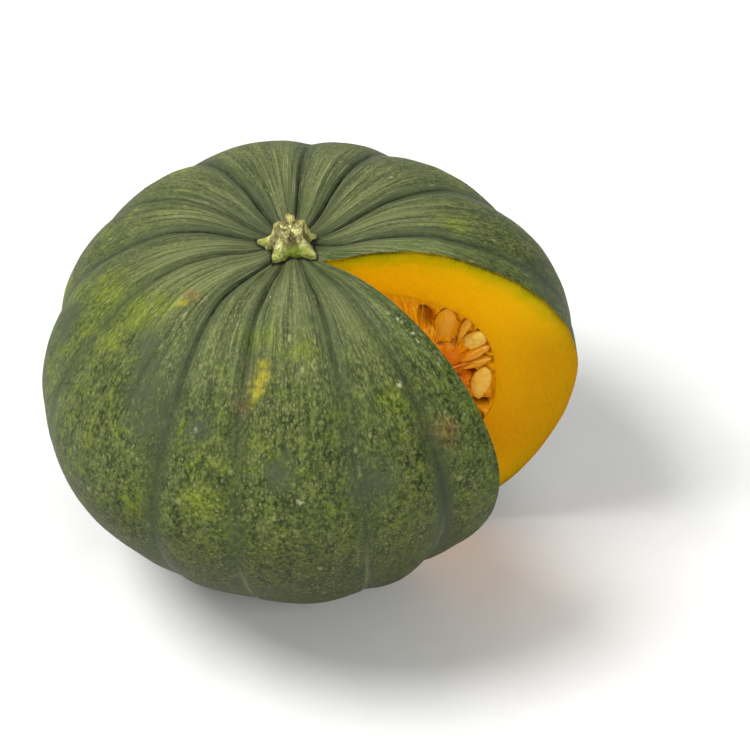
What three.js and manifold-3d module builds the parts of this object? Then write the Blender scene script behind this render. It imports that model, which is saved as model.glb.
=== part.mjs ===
// A kabocha squash with one wedge cut out of it, resting on its underside.
// Millimetres, +Z up. The mouth of the cut faces +X and the floor is z = 0.
// Three pieces: the fruit (rind and flesh grown as one), its corky stem, and
// the stringy pulp with the seeds that fills the seed hollow.
import * as THREE from 'three';
import { mergeVertices } from 'three/addons/utils/BufferGeometryUtils.js';
import Module from 'manifold-3d';

const wasm = await Module();
wasm.setup();

// Fruit. Heights are from its widest level, angles are azimuths in degrees.
const FRUIT_RADIUS = 110;
const CROWN_HEIGHT = 63.2;
const BASE_DEPTH = 89.3;
const CROWN_FULLNESS = 2.02;
const BASE_FULLNESS = 1.75;
const STEM_DIMPLE = { depth: 13, radius: 36 };
const STEM_COLLAR = { depth: -4, radius: 11 };
const BLOSSOM_DIMPLE = { depth: 8, radius: 20 };
const BLOSSOM_SCAR = { depth: -2, radius: 5 };
const BASE_FLATTENING = { from: 62, room: 22 };
const BASE_SKEW = { amount: 0.116, towards: 21 };
const LEAN = { angle: 3.8, towards: 204.4 };
const RESTING_FLAT = 1;

// How far the plan of the fruit is from a circle: once, twice, three times round.
const PLAN_WAVES = [
  { count: 1, amount: 0.0063, towards: 97 },
  { count: 2, amount: 0.0532, towards: 114.3 },
  { count: 3, amount: 0.0279, towards: 19 },
];

// Grooves: where each crosses the widest level, where it reaches the crown,
// how deep it is, and which share of that it keeps at the crown. A rib that is
// tucked in stands back from the others on the lower half. The groove at 354
// went with the missing wedge.
const GROOVES = [
  { at: 26.4, crown: 22, depth: 2.6, tuck: 0, kept: 1 },
  { at: 60.4, crown: 55, depth: 3.0, tuck: 0, kept: 1 },
  { at: 91.4, crown: 88, depth: 2.8, tuck: 0, kept: 1 },
  { at: 111.4, crown: 112, depth: 2.6, tuck: 0, kept: 1 },
  { at: 143, crown: 142, depth: 3.0, tuck: 0, kept: 1 },
  { at: 168, crown: 164, depth: 2.0, tuck: 0, kept: 1 },
  { at: 194.5, crown: 183, depth: 3.0, tuck: 0, kept: 1 },
  { at: 229.5, crown: 210, depth: 1.9, tuck: 1.8, kept: 1 },
  { at: 266.8, crown: 254, depth: 3.2, tuck: 1.8, kept: 1 },
  { at: 283.4, crown: 278, depth: 1.6, tuck: 0, kept: 1 },
  { at: 307.4, crown: 311, depth: 2.2, tuck: 0, kept: 0.8 },
  { at: 324.5, crown: 326, depth: 5.6, tuck: 4.0, kept: 0.25 },
  { at: 354, crown: 353, depth: 2.6, tuck: 0, kept: 0.15 },
];
const RIB_SHARPNESS = 0.45;
const RIB_LIFT = 0.6;
const CROWN_TWIST_SPREAD = 0.55;
const COLUMNS_IN_A_RIB = [0, 0.08, 0.24, 0.5, 0.76, 0.92];
const FRUIT_RINGS = 30;
const RINGS_TO_THE_POLES = 0.03;

// The wedge that was cut out, and the hollow the seeds sit in.
const NOTCH = { apexX: 15.2, apexY: -5.5, halfAngle: 23.2, reach: 170, height: 260 };
const HOLLOW = { share: 0.705, halfHeight: 43.5, level: -5, fullness: 2.6, rings: 16 };
const GAP = 0.3;

// Seeds stand side by side along the wall of the hollow, blunt ends outwards
// and pointed ends towards a hub. Each is turned on edge by its own angle, and
// a seed on edge takes less of the wall than one that lies flat.
const PULP_RECESS = 5;
const SEED = { length: 17.5, width: 9.4, thickness: 3.2, columns: 6, rings: 5 };
const FAN = { wall: 62.3, hubS: 37, hubZ: -8, start: 7, gap: 1.5, sunk: 0.4 };
const ON_EDGE = [30, 75, 10, 60, 35, 0, 80, 12, 85, 72, 100, 5, 70, 20, 80, 0, 65, 25, 85, 10];
const INNER_SEEDS = [[100, 15, 20], [72, 17, 70], [-60, 15, 30], [-92, 17, 60], [165, 20, 10]];
const STRANDS = 16;
const RANDOM_SEED = 20;

// Stem: a short five-ridged stub on spreading feet, broken off at the top.
const STEM = {
  height: 8.8, topRadius: 5.2, footRadius: 10.6, waist: 3,
  ridges: 5, ridgeTowards: 49, ridgeAtTop: 0.16, ridgeAtFoot: 0.22,
  columns: 40, rings: 9, sunk: 5,
};

// Corners closer than this are one corner.
const WELD = 1e-3;

const rad = THREE.MathUtils.degToRad;

// Three numbers in a row from the same start each time, so every build is alike.
function randomFrom(start) {
  let state = start;
  return () => {
    state = (state + 0x6d2b79f5) | 0;
    let t = Math.imul(state ^ (state >>> 15), 1 | state);
    t = (t + Math.imul(t ^ (t >>> 7), 61 | t)) ^ t;
    return ((t ^ (t >>> 14)) >>> 0) / 4294967296;
  };
}

// A closed skin over a grid of rings and columns, with one point at each end.
// pointAt(down, column) gives a Vector3, down running from 0 to 1.
function closedSkin(rings, columns, pointAt) {
  const positions = [];
  const faces = [];
  const put = (p) => positions.push(p.x, p.y, p.z);
  put(pointAt(0, 0));
  for (let i = 1; i < rings; i += 1) {
    for (let j = 0; j < columns; j += 1) put(pointAt(i / rings, j));
  }
  put(pointAt(1, 0));
  const at = (i, j) => 1 + (i - 1) * columns + (j % columns);
  const last = positions.length / 3 - 1;
  for (let j = 0; j < columns; j += 1) {
    faces.push(0, at(1, j), at(1, j + 1));
    for (let i = 1; i < rings - 1; i += 1) {
      faces.push(at(i, j), at(i + 1, j), at(i + 1, j + 1));
      faces.push(at(i, j), at(i + 1, j + 1), at(i, j + 1));
    }
    faces.push(at(rings - 1, j), last, at(rings - 1, j + 1));
  }
  const geometry = new THREE.BufferGeometry();
  geometry.setAttribute('position', new THREE.Float32BufferAttribute(positions, 3));
  geometry.setIndex(faces);
  return geometry;
}

function toSolid(geometry) {
  const plain = new THREE.BufferGeometry();
  plain.setAttribute('position', geometry.getAttribute('position').clone());
  if (geometry.index) plain.setIndex(geometry.index.clone());
  const merged = mergeVertices(plain, WELD);
  return new wasm.Manifold(new wasm.Mesh({
    numProp: 3,
    vertProperties: new Float32Array(merged.getAttribute('position').array),
    triVerts: new Uint32Array(merged.index.array),
  }));
}

function toGeometry(solid) {
  const mesh = solid.getMesh();
  const geometry = new THREE.BufferGeometry();
  const corners = new Float32Array(mesh.numVert * 3);
  for (let i = 0; i < mesh.numVert; i += 1) {
    for (let k = 0; k < 3; k += 1) {
      corners[3 * i + k] = mesh.vertProperties[mesh.numProp * i + k];
    }
  }
  geometry.setAttribute('position', new THREE.BufferAttribute(corners, 3));
  geometry.setIndex(new THREE.BufferAttribute(new Uint32Array(mesh.triVerts), 1));
  return geometry;
}

// The whole fruit leans a little on its resting spot, so everything that is
// worked out upright is turned by this afterwards.
const leanTo = new THREE.Vector3(Math.cos(rad(LEAN.towards)), Math.sin(rad(LEAN.towards)), 0);
const leanAxis = new THREE.Vector3(-leanTo.y, leanTo.x, 0);
const leanMatrix = new THREE.Matrix4().makeRotationAxis(leanAxis, rad(LEAN.angle));
const leaning = (geometry) => toSolid(geometry.applyMatrix4(leanMatrix));

const wavesAt = (azimuth) => PLAN_WAVES.reduce(
  (sum, wave) => sum + wave.amount * Math.cos(wave.count * (azimuth - rad(wave.towards))),
  1,
);
const bump = (shape, rho) => shape.depth * Math.exp(-((rho / shape.radius) ** 2));

// The side outline of the fruit as distance from the axis and height, for one
// azimuth. down is 0 at the crown and 1 at the blossom end.
function sideOutline(down, azimuth) {
  const turn = Math.PI * Math.min(Math.max(down, 0), 1);
  const upper = turn < Math.PI / 2;
  const power = 2 / (upper ? CROWN_FULLNESS : BASE_FULLNESS);
  const rho = FRUIT_RADIUS * wavesAt(azimuth) * Math.sin(turn) ** power;
  const steep = Math.abs(Math.cos(turn)) ** power;
  if (upper) {
    return [rho, CROWN_HEIGHT * steep - bump(STEM_DIMPLE, rho) - bump(STEM_COLLAR, rho)];
  }
  const skew = BASE_SKEW.amount * (rho / FRUIT_RADIUS) * Math.cos(azimuth - rad(BASE_SKEW.towards));
  const free = BASE_DEPTH * steep * (1 + skew);
  const over = Math.max(0, free - BASE_FLATTENING.from) / BASE_FLATTENING.room;
  const depth = Math.min(free, BASE_FLATTENING.from)
    + BASE_FLATTENING.room * (1 - Math.exp(-over));
  return [rho, -depth + bump(BLOSSOM_DIMPLE, rho) + bump(BLOSSOM_SCAR, rho)];
}

// A column of the fruit's grid belongs to one rib. It keeps its share of the
// way from one groove to the next, so the grid drifts round with the grooves.
const fruitColumns = GROOVES.length * COLUMNS_IN_A_RIB.length;
function ribOf(column) {
  const index = Math.floor(column / COLUMNS_IN_A_RIB.length) % GROOVES.length;
  const next = (index + 1) % GROOVES.length;
  const round = next === 0 ? 360 : 0;
  const share = COLUMNS_IN_A_RIB[column % COLUMNS_IN_A_RIB.length];
  return { here: GROOVES[index], there: GROOVES[next], round, share };
}

function fruitPoint(step, column) {
  const down = step - RINGS_TO_THE_POLES * Math.sin(4 * Math.PI * step);
  const { here, there, round, share } = ribOf(column);
  const twist = Math.exp(-((Math.PI * down / CROWN_TWIST_SPREAD) ** 2));
  const from = here.at + (here.crown - here.at) * twist;
  const to = there.at + round + (there.crown - there.at) * twist;
  const azimuth = rad(from + (to - from) * share);
  const [rho, z] = sideOutline(down, azimuth);
  const [rhoA, zA] = sideOutline(down - 0.004, azimuth);
  const [rhoB, zB] = sideOutline(down + 0.004, azimuth);
  const slope = Math.hypot(rhoB - rhoA, zB - zA) || 1;
  const rib = Math.sin(Math.PI * share) ** RIB_SHARPNESS;
  const beside = share < 0.5 ? here : there;
  const kept = beside.kept + (1 - beside.kept) * THREE.MathUtils.smoothstep(down, 0.2, 0.6);
  const depth = (here.depth + (there.depth - here.depth) * share) * kept;
  const along = 0.85 + 0.3 * Math.cos(2 * Math.PI * down);
  const nearPole = Math.min(1, rho / 26);
  const tuck = here.tuck * rib * THREE.MathUtils.smoothstep(down, 0.5, 0.7);
  const out = (RIB_LIFT - tuck - depth * along * (1 - rib)) * nearPole;
  const reach = rho + (out * (zA - zB)) / slope;
  const height = z + (out * (rhoB - rhoA)) / slope;
  return new THREE.Vector3(reach * Math.cos(azimuth), reach * Math.sin(azimuth), height);
}

const wholeFruit = () => closedSkin(FRUIT_RINGS, fruitColumns, fruitPoint);

// The seed hollow keeps to the plan of the fruit, rounder and a little low.
function hollowSkin(inset) {
  const power = 2 / HOLLOW.fullness;
  return closedSkin(HOLLOW.rings, GROOVES.length * 3, (down, column) => {
    const azimuth = (2 * Math.PI * column) / (GROOVES.length * 3);
    const turn = Math.PI * down;
    const widest = FRUIT_RADIUS * HOLLOW.share * wavesAt(azimuth) - inset;
    const rho = widest * Math.sin(turn) ** power;
    const rise = Math.sign(Math.cos(turn)) * Math.abs(Math.cos(turn)) ** power;
    const z = HOLLOW.level + (HOLLOW.halfHeight - inset) * rise;
    return new THREE.Vector3(rho * Math.cos(azimuth), rho * Math.sin(azimuth), z);
  });
}

// The missing wedge as a tall prism. Moved back, it also recesses the pulp.
function notchPrism(back) {
  const apexX = NOTCH.apexX - back / Math.sin(rad(NOTCH.halfAngle));
  const side = NOTCH.reach * Math.tan(rad(NOTCH.halfAngle));
  const shape = new THREE.Shape([
    new THREE.Vector2(apexX, NOTCH.apexY),
    new THREE.Vector2(apexX + NOTCH.reach, NOTCH.apexY - side),
    new THREE.Vector2(apexX + NOTCH.reach, NOTCH.apexY + side),
  ]);
  const prism = new THREE.ExtrudeGeometry(shape, { depth: NOTCH.height, bevelEnabled: false });
  return prism.translate(0, 0, -NOTCH.height / 2);
}

// One seed, pointed at its inner end, lying along +X with its flat side up.
function seedGeometry() {
  return closedSkin(SEED.rings, SEED.columns, (down, column) => {
    const around = (2 * Math.PI * column) / SEED.columns;
    const full = Math.sin(Math.PI * down ** 0.8) ** 0.75;
    const y = (SEED.width / 2) * full * Math.cos(around);
    const z = (SEED.thickness / 2) * full * Math.sin(around);
    return new THREE.Vector3(SEED.length * (0.5 - down), y, z);
  });
}

// A slim tapering fibre of the pulp between two points.
function strandGeometry(from, to, width) {
  const length = from.distanceTo(to);
  const strand = new THREE.CylinderGeometry(width * 0.45, width, length, 5, 1);
  strand.translate(0, length / 2, 0);
  const turn = new THREE.Quaternion().setFromUnitVectors(
    new THREE.Vector3(0, 1, 0),
    to.clone().sub(from).normalize(),
  );
  return strand.applyQuaternion(turn).translate(from.x, from.y, from.z);
}

// The two cut faces: s runs out from the apex, z up, n towards the open notch.
function cutFace(side) {
  const azimuth = rad(side * NOTCH.halfAngle);
  const out = new THREE.Vector3(Math.cos(azimuth), Math.sin(azimuth), 0);
  const open = new THREE.Vector3(side * Math.sin(azimuth), -side * Math.cos(azimuth), 0);
  const apex = new THREE.Vector3(NOTCH.apexX, NOTCH.apexY, 0);
  const place = (s, z, n) => apex.clone()
    .addScaledVector(out, s).addScaledVector(open, n).setZ(z);
  return { out, open, place };
}

// A point of the hollow's wall on a cut face, by angle round the hollow.
function wallAt(degrees) {
  const power = 2 / HOLLOW.fullness;
  const c = Math.cos(rad(degrees));
  const s = Math.sin(rad(degrees));
  return {
    s: FAN.wall * Math.max(c, 0) ** power,
    z: HOLLOW.level + HOLLOW.halfHeight * Math.sign(s) * Math.abs(s) ** power,
  };
}

// Walks down the wall and gives the angle at which each seed of the fan stands.
function fanAngles(edges) {
  const angles = [];
  let degrees = 90;
  let needed = FAN.start;
  let last = wallAt(degrees);
  for (let i = 0; i < edges.length && degrees > -90; i += 1) {
    const lying = Math.abs(Math.cos(rad(edges[i])));
    const room = SEED.thickness + (SEED.width - SEED.thickness) * lying + FAN.gap;
    needed += room / 2;
    while (needed > 0 && degrees > -90) {
      degrees -= 0.25;
      const next = wallAt(degrees);
      needed -= Math.hypot(next.s - last.s, next.z - last.z);
      last = next;
    }
    if (degrees > -90) angles.push(degrees);
    needed += room / 2;
  }
  return angles;
}

function seedsAndStrands() {
  const random = randomFrom(RANDOM_SEED);
  const spread = (size) => (random() - 0.5) * 2 * size;
  const pieces = [];
  for (const side of [1, -1]) {
    const face = cutFace(side);
    // Lays one seed with its middle at (s, z), its blunt end pointing at lie.
    const addSeed = (s, z, lie, edge) => {
      const centre = face.place(s, z, -PULP_RECESS + FAN.sunk + spread(0.5));
      const along = face.out.clone().multiplyScalar(Math.cos(lie));
      along.z = Math.sin(lie);
      along.addScaledVector(face.open, spread(0.12)).normalize();
      const across = new THREE.Vector3().crossVectors(face.open, along).normalize();
      const up = new THREE.Vector3().crossVectors(along, across);
      const turn = new THREE.Matrix4().makeBasis(along, across, up);
      const roll = new THREE.Matrix4().makeRotationX(rad(edge * side));
      const seed = seedGeometry().applyMatrix4(roll).applyMatrix4(turn);
      pieces.push(seed.translate(centre.x, centre.y, centre.z));
    };
    const edges = side > 0 ? ON_EDGE : [...ON_EDGE].reverse();
    fanAngles(edges).forEach((degrees, i) => {
      const wall = wallAt(degrees);
      const lie = Math.atan2(wall.z - FAN.hubZ, wall.s - FAN.hubS) + spread(0.08);
      const back = SEED.length / 2 + 1.6 + spread(0.8);
      addSeed(wall.s - back * Math.cos(lie), wall.z - back * Math.sin(lie), lie, edges[i]);
    });
    for (const [degrees, far, edge] of INNER_SEEDS) {
      const lie = rad(degrees) + spread(0.1);
      addSeed(FAN.hubS + far * Math.cos(lie), FAN.hubZ + far * Math.sin(lie), lie, edge);
    }
    for (let i = 0; i < STRANDS; i += 1) {
      const wall = wallAt(80 - (160 * i) / (STRANDS - 1) + spread(4));
      const root = face.place(FAN.hubS + spread(5), FAN.hubZ + spread(7), -PULP_RECESS);
      const tip = face.place(wall.s + 1, wall.z, -PULP_RECESS + 0.2);
      pieces.push(strandGeometry(root, tip, 1.3 + random() * 0.7));
    }
  }
  return pieces;
}

function stemSkin(crown) {
  return closedSkin(STEM.rings + 2, STEM.columns, (down, column) => {
    const azimuth = (2 * Math.PI * column) / STEM.columns;
    const step = down * (STEM.rings + 2);
    // The first two steps cover the broken top, a shallow dish with a rough rim.
    const drop = Math.max(0, (step - 2) / STEM.rings);
    const height = STEM.height * (1 - drop ** 0.8) - STEM.sunk * drop ** 4;
    const flare = Math.exp(-Math.max(height, 0) / STEM.waist);
    const ridge = Math.cos(STEM.ridges * (azimuth - rad(STEM.ridgeTowards)));
    const share = STEM.ridgeAtTop + (STEM.ridgeAtFoot - STEM.ridgeAtTop) * flare;
    const radius = (STEM.topRadius + (STEM.footRadius - STEM.topRadius) * flare)
      * (1 + share * ridge);
    const rim = 0.9 * Math.cos(2 * azimuth + 0.6) + 0.6 * Math.cos(3 * azimuth);
    if (step < 0.5) return new THREE.Vector3(0, 0, crown + STEM.height - 1.6);
    if (step > STEM.rings + 1.5) return new THREE.Vector3(0, 0, crown - STEM.sunk);
    const inward = step < 1.5 ? 0.62 : 1;
    const z = height - (step < 1.5 ? 1.4 : 0) + (step < 2.5 ? rim * inward : 0);
    return new THREE.Vector3(
      radius * inward * Math.cos(azimuth), radius * inward * Math.sin(azimuth), crown + z,
    );
  });
}

const crownLevel = sideOutline(0, 0)[1];
const uncut = leaning(wholeFruit());
const notch = leaning(notchPrism(0));
const raised = leaning(wholeFruit().translate(0, 0, GAP));

// The fruit stands on a few small flats where the lobes of its base touch down.
const lowest = uncut.boundingBox().min[2];
const floor = lowest + RESTING_FLAT;
const underFloor = toSolid(
  new THREE.BoxGeometry(400, 400, 40).translate(0, 0, floor - 20),
);

const fruitSolid = uncut.subtract(leaning(hollowSkin(0))).subtract(notch).subtract(underFloor);

const recessed = leaning(hollowSkin(GAP)).subtract(leaning(notchPrism(PULP_RECESS)));
const onTheFaces = seedsAndStrands().map(leaning)
  .reduce((solid, piece) => solid.add(piece))
  .intersect(leaning(hollowSkin(3 * GAP)))
  .subtract(leaning(notchPrism(GAP)));
const pulpSolid = recessed.add(onTheFaces);

const stemSolid = leaning(stemSkin(crownLevel)).subtract(raised).subtract(notch);

// The biggest body of a cut is kept. Slivers, crumbs and closed-in pockets
// between the seeds go, also those that only show once the corners are welded.
const biggest = (solid) => solid.simplify(0.02)
  .decompose().sort((a, b) => b.volume() - a.volume())[0];
const tidied = (solid) => biggest(toSolid(toGeometry(biggest(solid))));

const box = uncut.subtract(notch).boundingBox();
const centreX = (box.min[0] + box.max[0]) / 2;
const centreY = (box.min[1] + box.max[1]) / 2;

function meshOf(name, solid, color, roughness) {
  const geometry = toGeometry(tidied(solid)).translate(-centreX, -centreY, -floor);
  geometry.computeVertexNormals();
  const material = new THREE.MeshStandardMaterial({ color, roughness, metalness: 0 });
  material.name = name;
  const mesh = new THREE.Mesh(geometry, material);
  mesh.name = name;
  return mesh;
}

const squash = new THREE.Group();
squash.name = 'kabocha_squash';
squash.add(
  meshOf('fruit', fruitSolid, 0x4d5f36, 0.6),
  meshOf('stem', stemSolid, 0xb9b07a, 0.85),
  meshOf('seed_pulp', pulpSolid, 0xd88a1c, 0.55),
);

export default squash;
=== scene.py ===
# %% [markdown]
# # A kabocha squash with one wedge cut out
# A kabocha is a squat green squash: a hard mottled rind, thick amber flesh and a
# hollow full of seeds in orange strings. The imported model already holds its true
# size, so every piece here is made in the same frame and lands where it belongs.

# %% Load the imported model
import functools
import math
from collections import namedtuple
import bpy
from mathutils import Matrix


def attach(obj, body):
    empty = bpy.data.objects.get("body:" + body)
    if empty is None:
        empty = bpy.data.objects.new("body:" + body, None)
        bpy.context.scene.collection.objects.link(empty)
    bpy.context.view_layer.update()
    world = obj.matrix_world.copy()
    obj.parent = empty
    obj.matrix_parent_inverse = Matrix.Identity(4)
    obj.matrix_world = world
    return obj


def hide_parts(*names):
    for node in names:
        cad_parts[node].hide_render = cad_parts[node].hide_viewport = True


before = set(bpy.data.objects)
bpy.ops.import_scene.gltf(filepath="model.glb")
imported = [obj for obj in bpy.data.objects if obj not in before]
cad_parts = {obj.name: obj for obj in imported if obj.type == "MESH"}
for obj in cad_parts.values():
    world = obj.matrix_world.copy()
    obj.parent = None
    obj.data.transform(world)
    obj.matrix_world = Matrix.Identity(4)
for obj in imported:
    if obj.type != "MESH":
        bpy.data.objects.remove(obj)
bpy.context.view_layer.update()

from types import SimpleNamespace

import bmesh
import bpy
from mathutils import Matrix, Vector, noise
from mathutils.bvhtree import BVHTree

print("pieces in the packed model:", sorted(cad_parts))

# %% [markdown]
# ## One upright frame for the whole fruit
# The fruit leans a little on its resting spot. It is easier to describe a squash
# that stands upright, so each piece is shaped in millimetres round an upright axis
# and one matrix at the end leans it, sets it on the floor and turns it to metres.

# %% The way from the upright fruit to the row frame
LEAN_ANGLE = math.radians(3.8)
LEAN_TOWARDS = math.radians(204.4)
AXIS_FOOT = Vector((1.752, 1.467, 75.179))
MILLIMETRE = 0.001

lean_axis = Vector((-math.sin(LEAN_TOWARDS), math.cos(LEAN_TOWARDS), 0))
TO_ROW = (
    Matrix.Scale(MILLIMETRE, 4)
    @ Matrix.Translation(AXIS_FOOT)
    @ Matrix.Rotation(LEAN_ANGLE, 4, lean_axis)
)
print("the upright axis meets its widest level at", tuple(TO_ROW.translation))

# %% [markdown]
# ## The outline of the fruit
# Seen from the side a squash is two half ellipses with blunter shoulders, a deep
# dimple round the stem and a shallow one at the blossom end. Seen from above it is
# not quite a circle. A superellipse with a few waves gives both with little effort,
# and a formula can be asked for any point, which a sculpted mesh can't.

# %% Sizes of the outline
FRUIT_RADIUS = 110
CROWN_HEIGHT, CROWN_FULLNESS = 63.2, 2.02
BASE_DEPTH, BASE_FULLNESS = 89.3, 1.75
STEM_DIMPLE, STEM_COLLAR = (13, 36), (-4, 11)
BLOSSOM_DIMPLE, BLOSSOM_SCAR = (8, 20), (-2, 5)
FLATTENING_FROM, FLATTENING_ROOM = 62, 22
SKEW_AMOUNT, SKEW_TOWARDS = 0.116, math.radians(21)
PLAN_WAVES = ((1, 0.0063, 97), (2, 0.0532, 114.3), (3, 0.0279, 19))


def waves_at(azimuth):
    return 1 + sum(
        amount * math.cos(count * (azimuth - math.radians(towards)))
        for count, amount, towards in PLAN_WAVES
    )


def bump(size, rho):
    depth, radius = size
    return depth * math.exp(-((rho / radius) ** 2))


def outline_towards(azimuth):
    """The outline on one side, from the way down (0 to 1) to radius and height."""
    widest = FRUIT_RADIUS * waves_at(azimuth)
    skewed = SKEW_AMOUNT / FRUIT_RADIUS * math.cos(azimuth - SKEW_TOWARDS)

    def outline(down):
        turn = math.pi * min(max(down, 0), 1)
        upper = turn < math.pi / 2
        power = 2 / (CROWN_FULLNESS if upper else BASE_FULLNESS)
        rho = widest * max(math.sin(turn), 0) ** power
        steep = abs(math.cos(turn)) ** power
        if upper:
            return rho, CROWN_HEIGHT * steep - bump(STEM_DIMPLE, rho) - bump(STEM_COLLAR, rho)
        free = BASE_DEPTH * steep * (1 + skewed * rho)
        over = max(0, free - FLATTENING_FROM) / FLATTENING_ROOM
        depth = min(free, FLATTENING_FROM) + FLATTENING_ROOM * (1 - math.exp(-over))
        return rho, -depth + bump(BLOSSOM_DIMPLE, rho) + bump(BLOSSOM_SCAR, rho)

    return outline


def smooth_step(value, start, end):
    share = min(max((value - start) / (end - start), 0), 1)
    return share * share * (3 - 2 * share)


def on_circle(radius, azimuth, z):
    return Vector((radius * math.cos(azimuth), radius * math.sin(azimuth), z))


CROWN_LEVEL = outline_towards(0)(0)[1]
print("crown level", round(CROWN_LEVEL, 1), "mm above the widest level")

# %% [markdown]
# ## Ribs and grooves
# Thirteen grooves run from the stem to the blossom end and drift sideways as they
# reach the crown. The columns of the mesh follow them, with more columns close to a
# groove, so the narrow crease along each one is real geometry and needs no texture.

# %% Grooves and the columns between them
# Azimuth at the widest level, azimuth at the crown, depth, tuck of the rib that
# follows, how far beside the groove a second thin crease runs (0 for none), and
# which share of its depth the groove keeps at the crown.
Groove = namedtuple("Groove", "azimuth crown depth tuck twin kept")
GROOVES = tuple(Groove(*row) for row in (
    (26.4, 22, 2.6, 0, 0, 1), (60.4, 55, 3.0, 0, -3.0, 1),
    (91.4, 88, 2.8, 0, 0, 1), (111.4, 112, 2.6, 0, 2.6, 1),
    (143, 142, 3.0, 0, 0, 1), (168, 164, 2.0, 0, 0, 1),
    (194.5, 183, 3.0, 0, 0, 1), (229.5, 210, 1.9, 1.8, 0, 1),
    (266.8, 254, 3.2, 1.8, 4.2, 1), (283.4, 278, 1.6, 0, 0, 1),
    (307.4, 311, 2.2, 1.6, 0, 0.8), (324.5, 326, 5.6, 4.0, 0, 0.25),
    (354, 353, 2.6, 0, 0, 0.15),
))
CROWN_TWIST_SPREAD = 0.55
RIB_COLUMNS, CROWDING = 36, 0.78
FRUIT_COLUMNS, FRUIT_ROWS = len(GROOVES) * RIB_COLUMNS, 172
RINGS_TO_THE_POLES = 0.03


@functools.cache
def groove_azimuths(rib, down):
    """Where the two grooves beside a rib are at this level, in radians."""
    twist = math.exp(-((math.pi * down / CROWN_TWIST_SPREAD) ** 2))
    here, there = GROOVES[rib], GROOVES[(rib + 1) % len(GROOVES)]
    round_trip = 360 if rib == len(GROOVES) - 1 else 0
    start = here.azimuth + (here.crown - here.azimuth) * twist
    end = there.azimuth + round_trip + (there.crown - there.azimuth) * twist
    return math.radians(start), math.radians(end)


def place_in_rib(column):
    rib, step = divmod(column % FRUIT_COLUMNS, RIB_COLUMNS)
    even = step / RIB_COLUMNS
    return rib, even - CROWDING * math.sin(2 * math.pi * even) / (2 * math.pi)


print(FRUIT_COLUMNS, "columns, the narrowest",
      round(math.tau * FRUIT_RADIUS / len(GROOVES) * place_in_rib(1)[1], 2), "mm wide")

# %% [markdown]
# ## The stem's foot
# The corky stem stands on five spreading feet, and the rind ends in a thin ledge all
# round them, which carries a painted shadow. Both the rind and the stem need that
# five-cornered line, so it is worked out once, before either is made.

# %% Outline of the stem
STEM_HEIGHT, STEM_SUNK = 8.8, 5.0
STEM_TOP, STEM_FOOT, STEM_WAIST = 5.2, 10.6, 3.0
STEM_RIDGES, STEM_TOWARDS, RIDGE_NARROWNESS = 5, math.radians(49), 0.9
RIDGE_AT_TOP, RIDGE_AT_FOOT = 0.14, 0.26
SHORT_FOOT, SHORT_FOOT_WIDTH = 0.25, 0.5


def stem_ridge(azimuth):
    """1 on the narrow crest of a pillar, -1 in the middle of the furrow beside it."""
    wave = abs(math.sin(STEM_RIDGES / 2 * (azimuth - STEM_TOWARDS)))
    return 1 - 2 * wave ** RIDGE_NARROWNESS


def near_angle(azimuth, towards, width):
    """1 in one direction round the stem, falling to 0 on both sides of it."""
    return math.exp(-((math.remainder(azimuth - towards, math.tau) / width) ** 2))


def stem_radius(height, azimuth):
    flare = math.exp(-max(height, 0) / STEM_WAIST)
    share = RIDGE_AT_TOP + (RIDGE_AT_FOOT - RIDGE_AT_TOP) * flare
    short = 1 - SHORT_FOOT * near_angle(azimuth, STEM_TOWARDS, SHORT_FOOT_WIDTH)
    radius = STEM_TOP + (STEM_FOOT * short - STEM_TOP) * flare
    return radius * (1 + share * stem_ridge(azimuth))


print("the stem's foot is", round(2 * stem_radius(0, STEM_TOWARDS), 1), "mm across")

# %% [markdown]
# ## Relief of the rind
# On top of the big ribs a real rind has a sharp crease along each groove, faint
# wrinkles that fan out from the stem and a slow unevenness from growing. Noise in
# three dimensions gives the unevenness without a seam.

# %% Small relief: creases, wrinkles, lumps and the ledge round the stem
# Ranges are from and to, as shares of the way down; depths and widths in millimetres.
CREASE_DEPTH, CREASE_WIDTH, CREASE_FADES = 1.0, 1.1, (0.08, 0.34)
CREASE_FAR_DOWN, CREASE_UNEVEN, CREASE_PATCH = 0.1, 0.9, 9
TWIN_DEPTH, TWIN_WIDTH = 0.6, 0.88
LEDGE_DEPTH, LEDGE_WIDTH, LEDGE_AWAY = 0.9, 1.0, 0.7
LUMPS = ((30, 0.9), (11, 0.28), (4.5, 0.08))
WRINKLE_HEIGHT, WRINKLE_REACH = 0.45, 30
WRINKLES_ROUND, WRINKLES_DOWN, WRINKLE_FINENESS = 9, 3, 1.6


def fine_relief(point, groove, twin, kept, down, azimuth, rho, stem_gap):
    near_crown = 1 - smooth_step(down, *CREASE_FADES)
    sharp = CREASE_FAR_DOWN + (1 - CREASE_FAR_DOWN) * near_crown
    sharp *= kept * (1 + CREASE_UNEVEN * noise.noise(point / CREASE_PATCH))
    relief = -CREASE_DEPTH * sharp * math.exp(-((groove / CREASE_WIDTH) ** 2))
    if twin:
        aside = (groove - twin) / TWIN_WIDTH
        relief -= TWIN_DEPTH * near_crown * math.exp(-(aside ** 2))
    for size, height in LUMPS:
        relief += height * noise.noise(point / size)
    fan = on_circle(WRINKLES_ROUND, azimuth, WRINKLES_DOWN * down) * WRINKLE_FINENESS
    relief += WRINKLE_HEIGHT * noise.noise(fan) * math.exp(-rho / WRINKLE_REACH)
    off_ledge = (stem_gap - LEDGE_AWAY) / LEDGE_WIDTH
    return relief - LEDGE_DEPTH * math.exp(-(off_ledge ** 2))


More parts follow.
